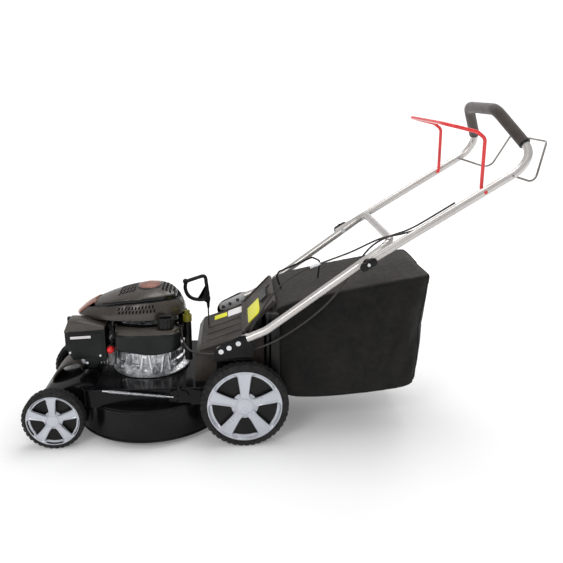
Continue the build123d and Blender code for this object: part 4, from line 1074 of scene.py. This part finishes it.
# The grab handle takes the warm brown tone: painted top light.
make_piece("front_grab_handle", *grab_handle(), BROWN_LIT_CHUTE_PLASTIC, "root", "black_plastic", ["front_carry_handle"],
           sharp=45)


def coil(start, end, radius, wire, turns, per_turn=18):
    """Wire wound in a helix about the line from start to end."""
    start, end = np.array(start, float), np.array(end, float)
    way = (end - start) / np.linalg.norm(end - start)
    side = np.cross(way, (0, 1, 0.01))
    side /= np.linalg.norm(side)
    up = np.cross(side, way)
    t = np.linspace(0, 1, turns * per_turn + 1)[:, None]
    a = t * turns * 2 * math.pi
    return tube(start + (end - start) * t + radius * (np.cos(a) * side + np.sin(a) * up), wire, 6)


def assist_spring():
    """Straight rod from the hood to the lever, with the close-wound spring that helps to lift the deck."""
    rod = tube([(-447, -216, 188), (-400, -216, 182), (-280, -216, 166.8), (-226, -216, 160)], 2.2, 10)
    wound = coil((-430, -216, 185.8), (-254, -216, 163.5), 4.2, 1.3, 46, 14)
    return joined(rod, wound)


make_piece("height_spring_coil", *assist_spring(), BRIGHT_STEEL, "root", "bright_steel",
           ["height_assist_spring"], sharp=50)


LEAF_LENGTH, LEAF_WIDTH = 135.0, 304.0
LEAF_NORMAL = np.array([-0.718, 0, 0.696])


def leaf_at(s, t):
    """Points on the flap's outer face: s along its slope from the hinge, t across from the operator's left."""
    return points_of(3.0 + 94.0 * s, LEAF_WIDTH * (t - 0.5), 355.5 + 97.0 * s)


def leaf_plate(corners, lift, radius, name, look, slot):
    """Thin plate on the flap's face, its corners rounded in the plane of the leaf."""
    flat = rounded(np.array(corners) * (LEAF_LENGTH, LEAF_WIDTH), radius, 5)
    base = leaf_at(flat[:, 0] / LEAF_LENGTH, flat[:, 1] / LEAF_WIDTH)
    middle = base.mean(0)
    rings = [base - LEAF_NORMAL, base + LEAF_NORMAL * lift * 0.6,
             middle + (base - middle) * 0.985 + LEAF_NORMAL * lift]
    make_piece(name, *capped(rings), look, "flap", slot, sharp=30)


leaf_plate([(0.15, 0.10), (0.50, 0.10), (0.55, 0.22), (0.55, 0.58), (0.15, 0.58)], 1.2, 5, "flap_yellow_plate",
           YELLOW_PLATE, "yellow_plastic")


def flap_frame():
    """Raised border and two ribs that stiffen the flap."""
    edge = [leaf_at(0.03, 0.01), leaf_at(0.99, 0.01), leaf_at(0.99, 0.99), leaf_at(0.03, 0.99)]
    parts = [tube(np.linspace(a, b, 8), 2.6, 10) for a, b in zip(edge, edge[1:])]
    parts += [tube(np.linspace(leaf_at(0.62, t), leaf_at(0.97, t), 6), 2.0, 8) for t in (0.33, 0.66)]
    return joined(*parts)


# The flap's border takes the warm brown tone: painted top light.
make_piece("flap_border", *flap_frame(), BROWN_LIT_CHUTE_PLASTIC, "flap", "black_plastic", sharp=40)
leaf_plate([(0.62, 0.34), (0.84, 0.34), (0.84, 0.64), (0.62, 0.64)], 6.0, 6, "flap_finger_grip", BLACK_PLASTIC_AND_WHEEL_SHADE,
           "black_plastic")


def chute_top(x):
    """Height of the chute's sloping roof."""
    return np.interp(x, [-140, -105, -60, 5], [294, 305, 320, 343])


def roof_plate(x0, x1, y0, y1, name, look, slot):
    """Thin plate that lies on the chute's roof."""
    flat = rounded([(x0, y0), (x1, y0), (x1, y1), (x0, y1)], 4, 4)
    rings = [np.column_stack([inset(flat, by), chute_top(flat[:, 0]) + lift])
             for lift, by in ((-0.6, 0), (0.8, 0), (1.2, 0.5))]
    make_piece(name, *capped(rings), look, "root", slot, sharp=30)


roof_plate(-100, -55, 92, 134, "chute_yellow_plate", YELLOW_PLATE, "yellow_plastic")
roof_plate(-52, 0, 78, 142, "chute_white_plate", WHITE_PLATE, "black_plastic")


def chute_ribs():
    """Low ribs on the roof, and a bead round the near and far edges of the roof."""
    edge, rib = np.linspace(-136, 2, 24), np.linspace(-120, -8, 18)
    parts = [tube(points_of(edge, y, chute_top(edge) - 0.5), 3.0, 10) for y in (-158.5, 158.5)]
    parts += [tube(points_of(rib, y, chute_top(rib) - 0.2), 2.6, 8) for y in (-92, -30, 32)]
    return joined(*parts)


# The roof ribs take the warm brown tone: painted top light.
make_piece("chute_roof_ribs", *chute_ribs(), BROWN_LIT_CHUTE_PLASTIC, "root", "black_plastic", sharp=40)


# ---- starter handle, knobs and handle trim ----
def starter_piece():
    """Finger loop of thick round section, a ball at its tip, a web that narrows to the neck, and the neck."""
    x, y = ROPE
    loop = smooth_line([(-192, y, 464), (-174, y, 470), (-152, y, 477), (-134, y, 482), (-126, y, 476),
                        (-123.5, y, 458), (-121, y, 434), (-119, y, 414), (-124, y, 400), (-140, y, 397),
                        (-162, y, 399), (-180, y, 407), (-191, y, 421), (-196, y, 440), (-194, y, 458)], 120)
    ring = tube(loop, 6.4, 14)
    web = smooth_line([(-127, 452), (-131, 430), (-139, 413), (-156, 403), (-140, 396), (-127, 388), (-119, 380),
                       (-113, 390), (-114, 412), (-118, 436), (-127, 452)], 48)[:-1]
    flat = plate(web, y - 4.5, y + 4.5, 2.0)
    ball = lathe([(0, -10), (5, -8.7), (8.6, -5), (10, 0), (8.6, 5), (5, 8.7), (0, 10)], (-194, y, 464), (0, 1, 0),
                 28)
    neck = lathe([(0, 366), (3.6, 366.6), (4.6, 372), (5.6, 384), (7.6, 394), (8.6, 402), (7.0, 410), (0, 412)],
                 (x, y, 0), (0, 0, 1), 28)
    return joined(ring, flat, ball, neck)


make_piece("starter_finger_loop", *starter_piece(), BLACK_PLASTIC_AND_WHEEL_SHADE, "recoil_grip", "black_plastic",
           ["starter_handle"], sharp=40)


def knob_piece(side):
    """Round knob with two leaf-shaped wings, an edge bead and the bolt's end in its middle."""
    x, z = FOLD
    start = UPPER_Y + TUBE_R + 0.6
    body = lathe([(0, 0), (15, 0), (16.6, 1.4), (17, 4), (16.4, 9), (14, 13.5), (10, 15.4), (0, 15.6)],
                 (x, side * start, z), (0, side, 0), 40)
    a = np.linspace(0, 2 * math.pi, 61)[:-1]
    reach = 9.5 + 18.5 * np.abs(np.cos(a)) ** 2.2
    lean = math.radians(31)
    flat = np.stack([x + reach * np.cos(a + lean), z + reach * np.sin(a + lean)], -1)
    return joined(body, plate(flat, *sorted((side * (start + 6.0), side * (start + 20.0))), 3.0))


for hand, side in (("left", -1), ("right", 1)):
    make_piece(f"knob_{hand}_wings", *knob_piece(side), BLACK_PLASTIC_AND_WHEEL_SHADE, f"clamp_knob_{hand}", "black_plastic",
               [f"knob_{hand}"], sharp=36)
    nut = dome_screw((FOLD[0], side * 279.6, FOLD[1]), (0, side, 0), 5.2, 2.6)
    make_piece(f"knob_{hand}_bolt_end", *nut, BRIGHT_STEEL, f"clamp_knob_{hand}", "bright_steel", sharp=36)


def grip_end(side):
    """Dark ring where the foam sleeve stops on the tube."""
    corner, top = np.array([851, side * 238, 925.0]), np.array([778, side * 124, 1041.0])
    way = (top - corner) / np.linalg.norm(top - corner)
    return lathe([(12.8, -1.6), (16.4, -1.6), (17.9, 0.4), (17.9, 4.0), (12.8, 4.0)], corner + way * 31.5, way, 36,
                 closed=True)


make_piece("grip_end_rings", *joined(grip_end(-1), grip_end(1)), BLACK_PLASTIC_AND_WHEEL_SHADE, "folding_handle", "black_plastic")


def bail_spring():
    """Wire from the drive cable's end to the bail, with its return spring and adjuster barrel."""
    a, b = np.array([716, -229, 796.0]), np.array([788, -231, 838.0])
    wire = tube(np.linspace(a, b, 6), 1.1, 8)
    wound = coil(a + (b - a) * 0.18, a + (b - a) * 0.62, 3.6, 0.9, 16)
    way = (b - a) / np.linalg.norm(b - a)
    barrel = lathe([(0, 0), (3.4, 0), (4.2, 1), (4.2, 9), (3.4, 10), (0, 10)], a + (b - a) * 0.72, way, 20)
    return joined(wire, wound, barrel)


make_piece("drive_wire_spring", *bail_spring(), BRIGHT_STEEL, "folding_handle", "bright_steel", sharp=45)


def muffler_cowl():
    """Domed black cowl in front of the engine, behind the air filter."""
    return lathe([(0, 26), (20, 25), (33, 20), (40, 11), (42, 0), (42, -22), (38, -26), (0, -26)],
                 (-543, -20, 303), (0, -1, 0), 48)


make_piece("intake_cowl", *muffler_cowl(), BLACK_PLASTIC_AND_WHEEL_SHADE, "root", "black_plastic", sharp=40)


def bracket_face(side):
    """Pressed plate over the flattened foot of the handle, with a folded lower flange."""
    outline = rounded([(-94, 288), (-94, 312), (-80, 332), (-8, 368), (12, 366), (30, 342), (28, 288)], 12, 6)
    face = plate(outline, *sorted((side * 226.6, side * 229.4)), 1.0)
    flange = tube([(-92, side * 227, 288), (-30, side * 227, 288), (27, side * 227, 288)], 3.0, 10)
    return joined(face, flange)


make_piece("handle_bracket_faces", *joined(bracket_face(-1), bracket_face(1)), BLACK_PAINT, "root",
           "black_paint", sharp=35)


def foot_plate():
    """Flattened end of the handle seen on its inner face: a round-ended strip in a pale, almost unmetallic copy of the
    silver paint, painted light on the far foot's shaded face.
    """
    outline = rounded([(-86, 303), (-78, 330), (0, 366), (22, 364), (27, 342), (14, 334), (-58, 302)], 9, 5)
    return plate(outline, 215.6, 217.9, 0.8)


make_piece("handle_foot_plate", *foot_plate(), FOOT_PAINTED_LIGHT, "root", "silver_paint", sharp=35)


def mouth_collar():
    """Moulded frame round the bag's mouth: a rectangular ring of rounded section, wider than the wire."""
    outer = rounded([(-190.5, 151), (190.5, 151), (190.5, 424), (-190.5, 424)], 20, 8)
    section = [(71, 5), (73, 2), (78, 0.5), (112, 0.5), (114, 2), (114, 9), (112, 11), (74, 11), (71, 9), (71, 5)]
    return open_skin([points_of(x, *inset(outer, by).T) for x, by in section])


make_piece("bag_mouth_collar", *mouth_collar(), BLACK_PLASTIC_AND_WHEEL_SHADE, "bag", "black_plastic", sharp=35)


# ---- floor, light and camera ----
def face(thing, way):
    """Turns a lamp or a camera to look along a direction."""
    thing.rotation_mode = "QUATERNION"
    thing.rotation_quaternion = way.to_track_quat("-Z", "Y")


def studio():
    """Pale floor, soft overhead and side light, pale surroundings and the camera. The camera sees a brighter
    world than the one that lights the object."""
    mesh = bpy.data.meshes.new("floor")
    mesh.from_pydata([(-30, -30, 0), (30, -30, 0), (30, 30, 0), (-30, 30, 0)], [], [(0, 1, 2, 3)])
    floor = link(bpy.data.objects.new("floor", mesh))
    pale, tree, shader = node_tree("floor_white")
    set_sockets(shader, Base_Color=(0.92, 0.92, 0.92, 1), Roughness=0.9, Emission_Color=(1, 1, 1, 1))
    place = add_node(tree, "ShaderNodeTexCoord")
    reach = add_node(tree, "ShaderNodeVectorMath", operation="LENGTH")
    glow = add_node(tree, "ShaderNodeMapRange", interpolation_type="SMOOTHSTEP", From_Min=0.9, From_Max=3.4,
                    To_Min=0.14, To_Max=0.75)
    tree.links.new(place.outputs["Object"], reach.inputs[0])
    tree.links.new(reach.outputs["Value"], glow.inputs["Value"])
    tree.links.new(glow.outputs["Result"], shader.inputs["Emission Strength"])
    mesh.materials.append(pale)
    for name, at, aim, size, power in (
            ("overhead", (0.2, 0.5, 3.0), (0, 0, 0.4), 2.2, 46),
            ("near_side", (-1.6, -3.2, 2.6), (0, 0, 0.4), 1.2, 34),
            ("far_side", (1.6, 3.0, 2.6), (0, 0, 0.5), 1.6, 24)):
        data = bpy.data.lights.new(name, "AREA")
        data.energy, data.size = power, size
        lamp = link(bpy.data.objects.new(name, data))
        lamp.location = at
        face(lamp, Vector(aim) - Vector(at))
    world = bpy.data.worlds.new("surroundings")
    world.use_nodes = True
    sky = world.node_tree.nodes["Background"]
    sky.inputs["Color"].default_value = (1, 1, 1, 1)
    seen = add_node(world.node_tree, "ShaderNodeLightPath")
    strength = add_node(world.node_tree, "ShaderNodeMapRange", To_Min=SKY_LIGHT, To_Max=1.05)
    world.node_tree.links.new(seen.outputs["Is Camera Ray"], strength.inputs["Value"])
    world.node_tree.links.new(strength.outputs["Result"], sky.inputs["Strength"])
    bpy.context.scene.world = world
    bpy.context.scene.view_settings.view_transform = "Standard"
    data = bpy.data.cameras.new("camera")
    data.lens, data.sensor_width = CAMERA_LENS, SENSOR_WIDTH
    camera = link(bpy.data.objects.new("camera", data))
    camera.location = placed(CAMERA_AT)
    level = math.cos(CAMERA_TILT)
    face(camera, -Vector((math.sin(CAMERA_TURN) * level, -math.cos(CAMERA_TURN) * level, math.sin(CAMERA_TILT))))
    bpy.context.scene.camera = camera


studio()
